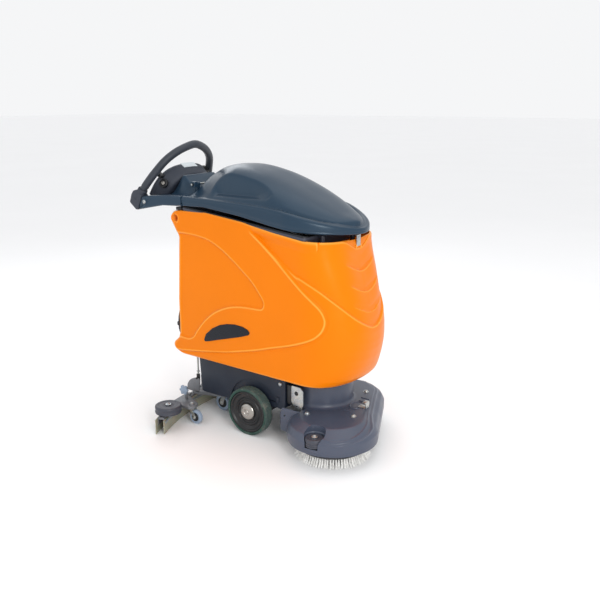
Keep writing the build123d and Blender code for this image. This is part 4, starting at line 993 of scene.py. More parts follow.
# ------------------------------------------------------------------ handle frame
hf = B()
arm = fillet([(-547, 884), (-522, 941), (-464, 948), (-399, 953), (-350, 955.5), (-285, 956.2), (-285, 918), (-325, 915), (-408, 911.5),
              (-467, 900)], [5, 10, 20, 20, 20, 0, 0, 12, 30, 30], 5)
for s in (-1, 1):
    a, b_ = sorted((s * 178, s * 218))
    v, f = prism(arm, a, b_, "xz", 7.0, 5)
    v = np.array(v)
    v[:, 0] = np.minimum(v[:, 0], -303.0)
    hf.add((v, f))
    hf.add(revolve(rprof([(0, 0), (15, 0), (15, 1.6), (12.5, 2.6), (0, 2.6)], 0.6), (-506, s * 217.6, 920), (0, s, 0), 36))
xs_ = np.concatenate([[-480, -478.5, -476], np.arange(-473, -303.4, 3.4), [-303.0]])
ys_ = np.linspace(-180, 180, 121)
XX, YY = np.meshgrid(xs_, ys_, indexing="ij")
base = np.interp(XX, [-480, -476, -470, -303], [938, 941.8, 943.5, 953])
colz = np.interp(XX, [-458, -450, -410, -402, -392, -380, -366, -352, -325, -303], [940, 950, 1012, 1024, 1024, 1015, 1001, 988, 976, 972])
fall = np.clip((128 - np.abs(YY)) / 38.0, 0, 1)
fall = fall * fall * (3 - 2 * fall)
top = np.maximum(base, base + (colz - base) * fall)
top = np.where(np.abs(YY) > 150, top - 3.0 * sm(150, 180, np.abs(YY)), top)
bot = np.interp(XX, [-480, -476, -303], [925, 914, 914])
tp = np.stack([XX, YY, top], 2)
bt = np.stack([XX, YY, bot], 2)
nxs, nys = XX.shape
hf.add(grid(tp))
hf.add(grid(bt, flip=True))
for s_ in (0, nxs - 1):
    hf.add(grid(np.stack([bt[s_], tp[s_]], 0)))
for s_ in (0, nys - 1):
    hf.add(grid(np.stack([bt[:, s_], tp[:, s_]], 0)))
for s in (-1, 1):
    a, b_ = sorted((s * 96.4, s * 115.6))
    hf.add(revolve(rprof([(4.1, a), (9, a), (9, b_), (4.1, b_)], 0.8), (-311, 0, 995), (0, 1, 0), 36))
    hf.add(rbox(-319, -303.4, a, b_, 962, 994, 1.5))
hf.done("handle_frame_casting", "blue_grey", "chassis", replaces=["handle_frame"], angle=42)

TILT = math.radians(57.25)
LDv = np.array((math.cos(TILT), 0, math.sin(TILT)))
LNv = np.array((math.sin(TILT), 0, -math.cos(TILT)))
LOv = np.array((-537.0, 0, 958.0))
lp = lambda s, t, off=0.0: LOv + np.array((0, s, 0)) + LDv * t + LNv * off

leg = [(200, -24), (196.5, 10), (185, 50), (169, 90), (138, 148), (95, 188), (45, 213), (0, 224)]
path = [lp(-a, b_) for a, b_ in leg] + [lp(a, b_) for a, b_ in leg[-2::-1]]
path = spline(path, 260)
rad = np.full(260, 16.4)
for k_ in (14, 245):
    rad[k_ - 3:k_ + 4] = 15.2
rad[:9] = 17.0
rad[-9:] = 17.0
lo_ = B().add(tube(path, 16.4, 32, rad=rad, up=LNv))
lo_.done("steering_loop_grip", "soft_grip", "chassis", replaces=["handle_loop"], angle=50)

ec = B()
capo = fillet([(-594, 912), (-582, 946), (-570, 962), (-545, 968), (-523, 942), (-548, 883), (-560, 884)], [8, 12, 12, 8, 5, 4, 6], 4)
for s in (-1, 1):
    a, b_ = sorted((s * 176.2, s * 219.8))
    ec.add(prism(capo, a, b_, "xz", 4.5, 4))
    ec.add(revolve(rprof([(16.0, -6), (21.5, -6), (20.5, 8), (18.5, 11), (16.0, 11)], 1.2), lp(s * 198.6, 2), LDv, 40))
    ec.add(disc_screw((-560, s * 219.4, 928), (0, s, 0), 6.0, 3.0))
ec.done("handle_end_covers", "charcoal", "chassis", replaces=["handle_end_caps"], angle=40)

# console: a D-shaped housing inside the loop
def arch_ring(off, inset, n=44):
    k = off / 72.0
    half = 157 + (128 - 157) * k - inset
    hh_ = 132 + (130 - 132) * k - inset
    pts = []
    for i in range(n + 1):
        a = math.pi * i / n
        c, s_ = math.cos(a), math.sin(a)
        pts.append(lp(-half * math.copysign(abs(c) ** (2 / 2.6), c), max(hh_ * abs(s_) ** (2 / 2.6), 0.0), off))
    for t in (-4, -8, -12, -16 + inset * 0.4):
        pts.append(lp(half, t, off))
    for s_ in np.linspace(half * 0.9, -half * 0.9, 20):
        pts.append(lp(s_, -16 + inset * 0.4, off))
    for t in (-16 + inset * 0.4, -12, -8, -4):
        pts.append(lp(-half, t, off))
    return pts


cs = []
for off, ins in ((0, 60), (0, 30), (0, 14), (0.6, 8.5), (2.6, 4.2), (6.0, 1.4), (10.5, 0), (16, 0), (17.4, 1.3), (19.0, 1.3), (20.4, 0), (30, 0),
                 (40, 0), (50, 0), (60, 0), (64.5, 1.0), (68.5, 3.2), (71.2, 7.2), (72, 12.5), (72, 30), (72, 60)):
    cs.append(arch_ring(off, ins))
v, f = grid(np.array(cs), cv=True)
n_ = len(cs[0])
f.append(list(range(n_)))
f.append(list(range((len(cs) - 1) * n_, len(cs) * n_))[::-1])
con = B().add((v, f))
ob = bpy.data.objects.new("console_shell", con.mesh("console_shell"))
scene.collection.objects.link(ob)
kd = np.array((LDv[0] * 0.37, -0.93, LDv[2] * 0.37))
kd /= np.linalg.norm(kd)
kp = lp(-132, 62, 40)
cc = B()
cc.add(revolve([(0, -14), (8.6, -14), (8.6, 60), (0, 60)], kp, kd, 40))
cc.add(revolve([(0, -173), (5.6, -173), (5.6, 173), (0, 173)], lp(0, 84, 16), (0, 1, 0), 24))
cc.add(revolve([(0, -6), (8.6, -6), (8.6, 10), (0, 10)], lp(-85, 60, 0), LNv, 32))
ob = cut(ob, cc.mesh("ct"))
finish_piece(ob, "charcoal", "chassis", replaces=["console_housing"], angle=36)
kb = B()
kb.add(revolve(rprof([(9.0, 2), (19, 2), (19, 11), (16.5, 13.5), (12.0, 13.5), (9.0, 12)], 1.0), kp, kd, 48))
kb.done("key_bezel", "black_plastic", "chassis")
ks = B()
ks.add(revolve(rprof([(0, -5.5), (7.9, -5.5), (7.9, 14.2), (7.2, 15.2), (0, 15.2)], 0.8), kp, kd, 40))
kx, ky, kz = basis_for(kd)
kx, ky, kz = np.array(kx), np.array(ky), np.array(kz)


def keyed(v):
    v = np.array(v)
    return kp + v[:, :1] * kx + v[:, 1:2] * ky + v[:, 2:3] * kz


v, f = prism(fillet([(-6.5, 15), (6.5, 15), (7.5, 19.5), (5, 20.0), (-5, 20.0), (-7.5, 19.5)], 1.0, 3), -1.2, 1.2, "xz", 0.4)
v = np.array(v)
v = np.stack([v[:, 0], v[:, 1], v[:, 2]], 1)
ks.add((keyed(v), f))
ks.done("key_and_barrel", "silver", "key", replaces=["ignition_key"])

pn = B()


def slabf(pts, o, t0, t1, n_dir, bev=0.5):
    """Plate on the console; pts are (s, t), thickness runs along the loop normal."""
    R2 = []
    for h_, i_ in ((t0, 0.0), (t1 - bev * math.copysign(1, t1 - t0), 0.0), (t1, bev)):
        q_ = offset2(pts, i_)
        R2.append([lp(a, b_, h_) for a, b_ in q_])
    v, f = grid(np.array(R2), cv=True)
    n = len(R2[0])
    f.append(list(range(n)))
    f.append(list(range(2 * n, 3 * n))[::-1])
    return v, f


pn.add(slabf(fillet([(-50, 24), (110, 24), (104, 84), (60, 112), (-40, 112), (-50, 96)], 8, 4), 0, 2.0, -1.6, None, 0.6))
st_ = []
for s_ in np.linspace(-40, 40, 24):
    rowp = []
    for off, h_ in ((3, 128.8), (3, 132.6), (4, 133.6), (17, 133.6), (30, 133.4), (31, 132.4), (31, 128.6), (17, 128.8)):
        dz_ = -((abs(s_) / 157.0) ** 2.6) * 62
        rowp.append(lp(s_, h_ + dz_, off))
    st_.append(rowp)
v, f = grid(np.array(st_), cv=True)
f.append(list(range(8)))
f.append(list(range(23 * 8, 24 * 8))[::-1])
pn.add((v, f))
pn.done("console_panel_and_strip", "label_white", "chassis", replaces=["display_panel"], angle=30)
mk = B()
for s_ in (-36, -6, 24, 54, 84):
    mk.add(slabf(fillet([(s_ - 9, 34), (s_ + 9, 34), (s_ + 9, 46), (s_ - 9, 46)], 3, 3), 0, -1.5, -2.9, None, 0.5))
mk.add(slabf(fillet([(-34, 60), (56, 60), (50, 92), (-30, 92)], 4, 3), 0, -1.5, -2.3, None, 0.4))
mk.done("console_keys_and_window", "black_plastic", "chassis")
sb = B().add(revolve(rprof([(0, -19.3), (9, -19.3), (15.8, -16.4), (15.8, -12.6), (12, -11.2), (7.9, -11.2), (7.9, 1.5), (0, 1.5)], 1.2),
                     lp(-85, 60, 0), LNv, 40))
sb.done("stop_mushroom", "stop_red", "stop", replaces=["stop_button"])
sr = B().add(revolve(rprof([(9.2, -2.2), (14.5, -2.2), (16.5, -0.8), (16.5, 0.8), (9.2, 0.8)], 0.5), lp(-85, 60, 0), LNv, 40))
sr.done("stop_collar", "charcoal", "chassis")
pd = B().add(revolve(rprof([(0, -154), (5, -154), (5, 154), (0, 154)], 1.0), lp(0, 84, 16), (0, 1, 0), 24))
for s in (-1, 1):
    y0, y1 = sorted((s * 130, s * 154.5))
    sec = fillet([(77.5, 22.5), (90.5, 22.5), (93, -16), (86, -18.0), (75.5, -17.0)], 3.0, 3)
    R2 = []
    for h_, i_ in ((y0, 2.4), (y0 + 0.8, 0.9), (y0 + 2.4, 0), (y1 - 2.4, 0), (y1 - 0.8, 0.9), (y1, 2.4)):
        q_ = offset2(sec, i_)
        R2.append([lp(h_, a, b_) for a, b_ in q_])
    v, f = grid(np.array(R2), cv=True)
    n_ = len(R2[0])
    f.append(list(range(n_)))
    f.append(list(range(5 * n_, 6 * n_))[::-1])
    pd.add((v, f))
pd.done("drive_paddle_blades", "black_plastic", "paddles", replaces=["drive_paddles"], angle=34)

hm = B()
for s in (-1, 1):
    a, b_ = sorted((s * 150.5, s * 203.5))
    for k_ in range(5):
        w_ = (b_ - a) / 5
        hm.add(prism(fillet([(-344, 909.8), (-314.8, 909.8), (-314.8, 898.2), (-344, 897.2)], 1.5, 3), a + k_ * w_ + 0.4,
                     a + (k_ + 1) * w_ - 0.4, "xz", 1.2, 2))
    hm.add(prism([(-341, 908.8), (-316, 908.8), (-316, 899.5), (-341, 898.5)], a + 1, b_ - 1, "xz", 0.6))
hm.done("frame_mount_pads", "black_rubber", "chassis", replaces=["handle_mounts"])


# ------------------------------------------------------------------ scrub deck
CA, CB = np.array((372.0, -138.0)), np.array((262.0, 138.0))
UD = (CA - CB) / np.linalg.norm(CA - CB)
ND = np.array((-UD[1], UD[0]))        # outward on the front side
A0 = math.atan2(ND[1], ND[0])


def hull_ring(inset, n1=110, n2=90):
    """Outline round both brushes; starts at the front of the left brush and runs round the right one."""
    r, rb = 177.0 - inset, 164.0 - inset
    pts = []
    for t in np.linspace(0, 1, n2, endpoint=False):
        pts.append(CB + (CA - CB) * t + ND * (rb + (r - rb) * t))
    for a in np.linspace(A0, A0 - math.pi, n1, endpoint=False):
        pts.append(CA + r * np.array((math.cos(a), math.sin(a))))
    for t in np.linspace(0, 1, n2, endpoint=False):
        pts.append(CA + (CB - CA) * t - ND * (r + (rb - r) * t))
    for a in np.linspace(A0 - math.pi, A0 - 2 * math.pi, n1, endpoint=False):
        pts.append(CB + rb * np.array((math.cos(a), math.sin(a))))
    return np.array(pts)


prof = [(150, 155.2), (120, 155.2), (90, 155.2), (70, 155.2), (60, 155.2), (56, 154.9), (52, 153.9), (47, 151.2), (42, 148.0), (35, 143.6),
        (28, 139.4), (22, 136.0), (17.5, 133.6), (14, 131.6), (11.5, 129.2), (9, 125.5), (6.5, 120.5), (4.2, 115.5), (2.2, 111.6), (0.8, 109),
        (0.2, 107)]
prof += [(0.0, z) for z in np.arange(105, 76, -1.25)]
prof += [(0.1, 75.0), (1.6, 74.0), (1.9, 73.0), (1.9, 67), (1.9, 65.6), (2.4, 64.4), (3.6, 64.0), (5.2, 64.4), (5.6, 66), (5.6, 109), (10, 117),
         (18.6, 130), (36, 140), (57, 149.8), (75, 150), (110, 150), (150, 150)]
ring0 = hull_ring(0)
RN = []
s_id = np.arange(len(ring0))
P0, P1 = hull_ring(0), hull_ring(1)
nrm = P0 - P1
ang = np.arctan2(P0[:, 1], P0[:, 0] - 317)
# two raised lines leave the right roller and climb over the shoulder towards the front
azr = np.degrees(np.arctan2(P0[:, 1] - CA[1], P0[:, 0] - CA[0]))
zr1 = np.interp(azr, [-100, -72, -55, -40, -20, 0, 20, 40, 75, 120], [120, 116, 110, 112, 120, 129, 138, 143, 143, 140])
zr2 = np.interp(azr, [-100, -72, -55, -40, -20, 0, 20, 40, 75, 120], [132, 130, 122, 125, 134, 142, 148, 150, 150, 148])
on_ = sm(-84, -66, azr) * (1 - sm(80, 120, azr))
dense = []
for (i0, z0), (i1, z1) in zip(prof[4:20], prof[5:21]):
    m_ = max(1, int(math.hypot(i1 - i0, z1 - z0) / 1.3))
    dense += [(i0 + (i1 - i0) * q_ / m_, z0 + (z1 - z0) * q_ / m_) for q_ in range(m_)]
prof = prof[:4] + dense + prof[20:]
for i_, (ins, z) in enumerate(prof):
    q_ = hull_ring(ins)
    zz = np.full(len(q_), float(z))
    if ins <= 58.0 and 74 < z < 154.8 and i_ < len(prof) - 12:
        bulge = (4.2 * np.exp(-((zz - zr1) / 3.0) ** 2) + 3.0 * np.exp(-((zz - zr2) / 2.4) ** 2)) * on_
        tilt_ = math.radians(float(np.interp(z, [108, 114, 128, 150], [0, 30, 55, 65])))
        q_ = q_ + nrm * (bulge * math.cos(tilt_))[:, None]
        zz = zz + bulge * math.sin(tilt_)
    RN.append(np.stack([q_[:, 0], q_[:, 1], zz], 1))
RN = np.array(RN)
v, f = grid(RN, cv=True)
n_ = RN.shape[1]
f.append(list(range(n_)))
f.append(list(range((len(RN) - 1) * n_, len(RN) * n_))[::-1])
dk = B().add((v, f))
deck = bpy.data.objects.new("deck_moulding", dk.mesh("deck_moulding"))
scene.collection.objects.link(deck)
ROLL = [(385.0, -285.0), (249.0, 285.0)]
dc = B()
for (x, y) in ROLL:
    dc.add(revolve([(0, 88), (38.5, 88), (38.5, 126), (41.5, 130), (41.5, 170), (0, 170)], (x, y, 0), (0, 0, 1), 56))
dc.add(prism([(60, -400), (107, -400), (107, 400), (60, 400)], 40, 200, "xy", 0))
dc.add(prism([(50, -410), (162, -410), (162, 410), (50, 410)], 92, 210, "xy", 0))
dc.add(revolve([(0, 140), (13, 140), (13, 170), (0, 170)], (295, 0, 0), (0, 0, 1), 32))
deck = cut(deck, dc.mesh("ct"))
finish_piece(deck, "deck_grey", "deck", replaces=["deck_housing"], angle=35)


def boolean(ob, me, op):
    co = bpy.data.objects.new("cutter", me)
    scene.collection.objects.link(co)
    md = ob.modifiers.new("b", "BOOLEAN")
    md.operation = op
    md.solver = "EXACT"
    md.use_self = True
    md.object = co
    dg_ = bpy.context.evaluated_depsgraph_get()
    m2 = bpy.data.meshes.new_from_object(ob.evaluated_get(dg_))
    ob.modifiers.clear()
    ob.data = m2
    bpy.data.objects.remove(co)
    return ob


# cups behind the rollers and the walls that close the rear of the deck
hs = B()
RS = []
for ins, z in ((150, 155.0), (60, 155.0), (52, 153.7), (14.4, 131.4), (0.6, 109.4), (0.3, 107), (0.3, 64.2)):
    q_ = hull_ring(ins, 60, 12)
    RS.append(np.stack([q_[:, 0], q_[:, 1], np.full(len(q_), float(z))], 1))
RS = np.array(RS)
v, f = grid(RS, cv=True)
n_ = RS.shape[1]
f.append(list(range(n_)))
f.append(list(range((len(RS) - 1) * n_, len(RS) * n_))[::-1])
hs.add((v, f))
cw = B()
for (x, y) in ROLL:
    cw.add(revolve([(0, 84), (44, 84), (44, 160), (41.4, 160), (41.4, 130), (38.4, 126), (38.4, 88), (0, 88)], (x, y, 0), (0, 0, 1), 56))
cw.add(prism([(107, -400), (166, -400), (166, 400), (107, 400)], 88, 92, "xy", 0))
cw.add(prism([(162, -398), (166, -398), (166, 398), (162, 398)], 90, 165, "xy", 0))
cw.add(prism([(107, -399), (111, -399), (111, 399), (107, 399)], 60, 91, "xy", 0))
ob = bpy.data.objects.new("deck_cups_and_rear_walls", cw.mesh("deck_cups_and_rear_walls"))
scene.collection.objects.link(ob)
boolean(ob, hs.mesh("hs"), "INTERSECT")
finish_piece(ob, "deck_grey", "deck", angle=35)

# oval pocket rim
de = B()
orim = []
for rr, z in ((1.16, 155.0), (1.12, 157.2), (1.04, 158.0), (0.98, 157.0), (0.93, 154.9)):
    orim.append([(400 + 25 * rr * math.cos(t), 1 + 36 * rr * math.sin(t), z) for t in np.linspace(0, 2 * math.pi, 56, endpoint=False)])
v, f = grid(np.array(orim), cu=True, cv=True)
de.add((v, f))
# ribs fanning over the plateau
for yy in (-70, -40, 46, 78):
    de.add(rbox(392 - abs(yy) * 0.25, 396 - abs(yy) * 0.25 + 34, yy - 2, yy + 2, 153.5, 157.6, 1.2))
de.done("deck_pocket_rim_and_ribs", "deck_grey", "deck")

# drum over the brush motor, flat at the rear
drum = [(0, 283), (112, 283), (119, 281.6), (124, 277.5), (126, 271), (126, 176), (126.4, 170), (127.6, 164.5), (130.5, 159.5),
        (135, 156.6), (141, 155.4), (141, 155.2), (0, 155.2)]
v, f = revolve(drum, (235, 0, 0), (0, 0, 1), 144)
v = np.array(v)
v[:, 0] = np.maximum(v[:, 0], 163.2)
B().add((v, f)).done("motor_drum", "deck_grey", "deck", replaces=["motor_cover"], angle=40)

# bolts, hook, roller axles and the guide plates
dh = B()
for (x, y) in ((283, -182), (443, -103), (359, 143), (200, 190)):
    dh.add(revolve(rprof([(0, 155.1), (11.5, 155.1), (11.5, 156.9), (0, 156.9)], 0.5), (x, y, 0), (0, 0, 1), 36))
    dh.add(revolve([(0, 156), (8.4, 156), (8.4, 158.5), (7.6, 161), (5.4, 162.9), (3.1, 163.5), (2.9, 161.4), (0, 161.2)], (x, y, 0), (0, 0, 1), 36))
dh.add(rbox(410, 447.5, -14, 14, 155.2, 158.3, 0.9, 3))
hk = fillet([(443.5, 155.5), (447, 155.5), (447, 180), (430, 180), (430, 176.8), (443.5, 176.8)], [0.5, 2, 4, 1, 1, 2], 4)
dh.add(prism(hk, -14, 14, "xz", 0.8))
dh.add(disc_screw((421, 0, 158), (0, 0, 1), 6.0, 4.0))
for (x, y) in ROLL:
    dh.add(revolve(rprof([(0, 88.3), (7.9, 88.3), (7.9, 125.6), (12, 125.6), (12, 128.2), (9.6, 129), (0, 129)], 0.6), (x, y, 0), (0, 0, 1), 36))
    dh.add(revolve([(0, 128), (7.2, 128), (7.2, 130.6), (5.6, 132.6), (3.0, 133.5), (2.7, 131.6), (0, 131.6)], (x, y, 0), (0, 0, 1), 30))
gd = B()
for s in (-1, 1):
    a, b_ = sorted((s * 152.3, s * 156))
    low = 132.0 if s < 0 else 155.3
    gp = fillet([(190, 243), (232, 241), (246, 228), (246, 168), (240, 157), (240, low + 14), (222, low), (210, low), (206, 157), (198, 162),
                 (190, 176)], [6, 6, 8, 6, 4, 1, 1, 1, 2, 6, 6], 4)
    gd.add(prism(gp, a, b_, "xz", 0.7))
ob = bpy.data.objects.new("deck_guide_plates", gd.mesh("deck_guide_plates"))
scene.collection.objects.link(ob)
gc = B()
for s in (-1, 1):
    gc.add(revolve([(0, 148), (9, 148), (9, 162), (0, 162)], (214, 0, 214), (0, s, 0), 36))
ob = cut(ob, gc.mesh("ct"))
finish_piece(ob, "zinc", "deck", angle=35)
dh.done("deck_bolts_hook_and_axles", "zinc", "deck", replaces=["deck_hardware"])
# black sleeves behind the guide holes, and black blocks behind the guide plates that paint the shade of the dark recess
# around them
gb = B()
for s in (-1, 1):
    gb.add(revolve(rprof([(4, 147.5), (16, 147.5), (16, 152.2), (4, 152.2)], 0.8), (214, 0, 214), (0, s, 0), 36))
    # painted shadow: a black block standing in for the shaded recess beside the guide plate
    gb.add(rbox(166, 238, min(s * 143, s * 151.9), max(s * 143, s * 151.9), 160, 240, 3))
gb.done("guide_sleeves_and_painted_shadow_blocks", "black_plastic", "deck")

# hinged flap plate hung behind the deck on the right
fl = fillet([(150, 52), (228, 46), (232, 126), (258, 132), (258, 149), (160, 149.5), (150, 128)], [4, 6, 3, 4, 4, 6, 6], 4)
ob = bpy.data.objects.new("deck_side_flap", B().add(prism(fl, -176, -172.2, "xz", 1.0)).mesh("deck_side_flap"))
scene.collection.objects.link(ob)
fc_ = B().add(revolve([(0, -182), (5, -182), (5, -168), (0, -168)], (170, 0, 118), (0, 1, 0), 32))
big_hull = B()
RS2 = []
for z in (40, 101):
    q_ = hull_ring(-0.3, 60, 12)
    RS2.append(np.stack([q_[:, 0], q_[:, 1], np.full(len(q_), float(z))], 1))
v, f = grid(np.array(RS2), cv=True)
n_ = len(RS2[0])
f.append(list(range(n_)))
f.append(list(range(n_, 2 * n_))[::-1])
fc_.add((v, f))
ob = cut(ob, fc_.mesh("ct"))
finish_piece(ob, "deck_grey", "deck", replaces=have("deck_flap"), angle=35)

# bumper rollers on the deck
for side, (x, y) in zip(("right", "left"), ROLL):
    pr = rprof([(8.1, 91.2), (31, 91.2), (34.4, 93), (35, 95), (35, 98.5), (33.6, 99.4), (33.6, 100.6), (35, 101.5), (35, 106), (33.4, 107),
                (33.4, 110), (35, 111), (35, 121), (33.4, 124.4), (30, 125), (26, 124.6), (24, 123), (14, 123), (12.5, 124.8), (8.1, 124.8)], 0.5)
    B().add(revolve(pr, (x, y, 0), (0, 0, 1), 72)).done("deck_roller_tyre_" + side, "bumper_grey", "deck_roller_" + side,
                                                      replaces=["deck_bumper_" + side])

# ------------------------------------------------------------------ brushes
for side, (x, y), body in (("right", (372, -138), "brush_r"), ("left", (262, 138), "brush_l")):
    pr = rprof([(0, 34.2), (130, 34.2), (135, 37.5), (136, 41), (136, 49), (133.5, 52), (60, 54), (42, 57), (36, 66), (33, 84), (13, 88), (12, 122),
                (30, 122), (30, 139.5), (0, 139.5)], 1.6)
    wv = lambda t, r, h: 0.7 * math.cos(24 * t) if 130 < r and 38 < h < 50 else 0.0
    B().add(revolve(pr, (x, y, 0), (0, 0, 1), 144, wv)).done("brush_block_" + side, "brush_body", body, replaces=["brush_" + side])
    rg = np.random.RandomState(5 + len(side))
    V, F, k_ = [], [], 0
    rings_ = [(70, 36, 0.05), (81, 42, 0.04), (92, 48, 0.05), (103, 56, 0.08), (113, 64, 0.14), (122, 70, 0.26), (129, 80, 0.42)]
    for r0, cnt, lean in rings_:
        for j in range(cnt):
            t0 = 2 * math.pi * (j + 0.5 * (int(r0) % 2)) / cnt + rg.uniform(-0.006, 0.006)
            cr_, sr_ = math.cos(t0), math.sin(t0)
            nf = 15 if r0 > 120 else 9
            tl = rg.uniform(-2.0, 2.0)
            for q_ in range(nf):
                a_, b_ = rg.uniform(-2.4, 2.4), rg.uniform(-2.4, 2.4)
                rr0, tt0 = r0 + a_ * 0.7, b_ * 0.7
                out_ = 31.0 * lean * (1.0 + 0.35 * a_ / 2.4) + rg.uniform(-1.1, 1.6)
                tan_ = 2.1 * b_ / 2.4 + rg.uniform(-1.6, 1.6) + tl
                w_ = 0.62 if r0 > 120 else 0.8
                zend = rg.uniform(1.0, 4.4)
                for i_, tt in enumerate((0.0, 0.4, 0.75, 1.0)):
                    rad_ = rr0 + out_ * tt ** 1.4
                    tan__ = tt0 + tan_ * tt ** 1.2
                    cx_ = x + cr_ * rad_ - sr_ * tan__
                    cy_ = y + sr_ * rad_ + cr_ * tan__
                    cz_ = 35.0 + (zend - 35.0) * tt
                    for m_ in range(3):
                        an = 2 * math.pi * m_ / 3 + q_
                        V.append((cx_ + w_ * math.cos(an), cy_ + w_ * math.sin(an), cz_))
                for i_ in range(3):
                    for m_ in range(3):
                        a0 = k_ + i_ * 3 + m_
                        a1 = k_ + i_ * 3 + (m_ + 1) % 3
                        F.append([a0, a1, a1 + 3, a0 + 3])
                F.append([k_ + 11, k_ + 10, k_ + 9])
                k_ += 12
    ob = B().add((V, F)).done("bristle_tufts_" + side, "bristle_white", body, replaces=["bristles_" + side], angle=80, weld=0)

# ------------------------------------------------------------------ drive wheels
for side, s in (("right", -1), ("left", 1)):
    wb = "wheel_" + side
    o_, d_ = (0, 0, 100), (0, s, 0)
    pr = fillet([(86.2, 160.5), (92, 156.4), (97.2, 158.2), (98.6, 160.5)], [1, 2, 1, 0], 2)[:-1]
    pr += [(98.8 + 1.2 * math.sin(math.pi * (h_ - 160.5) / 40.0) ** 0.5, h_) for h_ in np.linspace(160.5, 200.5, 25)]
    pr += fillet([(98.8, 200.5), (97.2, 202.4), (94.6, 203.8), (91.4, 204.4), (90.0, 203.2), (88.8, 203.4), (86.2, 200.5)], [0, 1.5, 1.5, 1, 0.5, 1, 1], 2)[1:]
    zig = lambda h: abs(((h - 160.5) / 10.0) % 2 - 1)
    wv = lambda t, r, h: (-1.5 * max(0.0, math.cos(96 * t + 2.4 * zig(h))) ** 1.5 - 0.5 * (math.cos((h - 160.5) * math.pi / 2.5) > 0.5)) \
        if r > 98.2 and 160 < h < 201 else 0.0
    ty = B().add(revolve(pr, o_, d_, 960, wv)).done("tyre_tread_" + side, "green_tyre", wb, replaces=["tyre_" + side], angle=50)
    ty.data.materials.append(M["tread_grey"])
    for pl in ty.data.polygons:
        c_ = pl.center
        if math.hypot(c_.x - SX / 1000, c_.z - 0.1) > 0.0966 and 0.1595 < abs(c_.y) < 0.2015:
            pl.material_index = 1
    pr = rprof([(32.6, 169.5), (86, 161), (86, 200.2), (84, 202.2), (80, 202.2), (77.5, 199.6), (75, 195.6), (70, 193.2), (66, 192.4), (63.4, 191), (61, 190.8),
                (58.5, 192.6), (56.5, 195.6), (53.5, 196.4), (50.6, 195.2), (48.6, 191.4), (46, 189.8), (42, 189.4), (39.6, 191.2), (37.5, 191.4),
                (36, 189.6), (32.6, 190)], 0.7)
    B().add(revolve(pr, o_, d_, 128)).done("rim_disc_" + side, "rim_black", wb, replaces=["rim_" + side], angle=35)
    pr = rprof([(0, 60), (9.4, 60), (9.4, 166), (32, 170), (32, 194.5), (33.6, 195.6), (33.4, 198), (31.5, 200.4), (28, 202.4), (22, 203.9),
                (15.5, 204.6), (13.2, 204.2), (11.8, 202.2), (9.5, 201.8), (7.8, 203.4), (6.2, 205.1), (3.0, 205.5), (0, 205.5)], 0.5)
    B().add(revolve(pr, o_, d_, 80)).done("hub_cap_" + side, "silver", wb, replaces=["hub_" + side], angle=40)


# ------------------------------------------------------------------ chassis tray
tb_ = lambda x: 291.0 - 0.0212 * (x + 247.0)
tr = fillet([(-296, tb_(-296) - 0.6), (-283, 112), (-144, 111), (107, 128), (147, 128), (157, 140), (157, tb_(157) - 1.6)],
            [1, 10, 30, 16, 14, 12, 1], 5)
ob = bpy.data.objects.new("chassis_pan", B().add(prism(tr, -152, 152, "xz", 3.0, 3)).mesh("chassis_pan"))
scene.collection.objects.link(ob)
tc_ = B()
tc_.add(prism([(-291, 320), (-284, 154), (152, 154), (152, 320)], -146.5, 146.5, "xz", 0))
tc_.add(prism([(-279, 149.5), (-277, 90), (149.5, 90), (149.5, 149.5)], -146.5, 146.5, "xz", 0))
for s in (-1, 1):
    tc_.add(revolve([(0, 138), (126, 138), (126, 175), (0, 175)], (0, 0, 100), (0, s, 0), 96))
    tc_.add(prism([(-310, 90), (-266, 90), (-266, 149), (-282, 149), (-282, 196), (-310, 196)], min(s * 121, s * 147.2), max(s * 121, s * 147.2), "xz", 0))
    tc_.add(revolve([(0, 130), (4.1, 130), (4.1, 172), (0, 172)], (133, 0, 234), (0, s, 0), 24))
ob = cut(ob, tc_.mesh("ct"))
finish_piece(ob, "chassis_navy", "chassis", replaces=["chassis_tray"], angle=34)
tb2 = B()
for s in (-1, 1):
    tb2.add(revolve(rprof([(10.1, 128), (22, 128), (22, 150.5), (10.1, 150.5)], 1.2), (-215, s * 55.6, 0), (0, 0, 1), 40))
    a, b_ = sorted((s * 108.2, s * 123.8))
    lug_ = fillet([(-162, 150.5), (-158, 106), (-134, 106), (-126, 150.5)], [0, 10, 10, 0], 5)
    tb2.add(prism(lug_, a, b_, "xz", 1.4))
    # small bracket low on the tray's side
    a, b_ = sorted((s * 149.5, s * 156.5))
    tb2.add(rbox(112, 128, a, b_, 152, 176, 1.6))
tb2.done("tray_bearing_lugs", "chassis_navy", "chassis")

# ------------------------------------------------------------------ screws and pins keep their places
ps = B()
for s in (-1, 1):
    ps.add(disc_screw((133, s * 151.8, 234), (0, s, 0), 8.6, 5.6))
    ps.add(disc_screw((-506, s * 220.0, 920), (0, s, 0), 8.2, 5.0))
ps.done("side_screws", "zinc", "chassis")


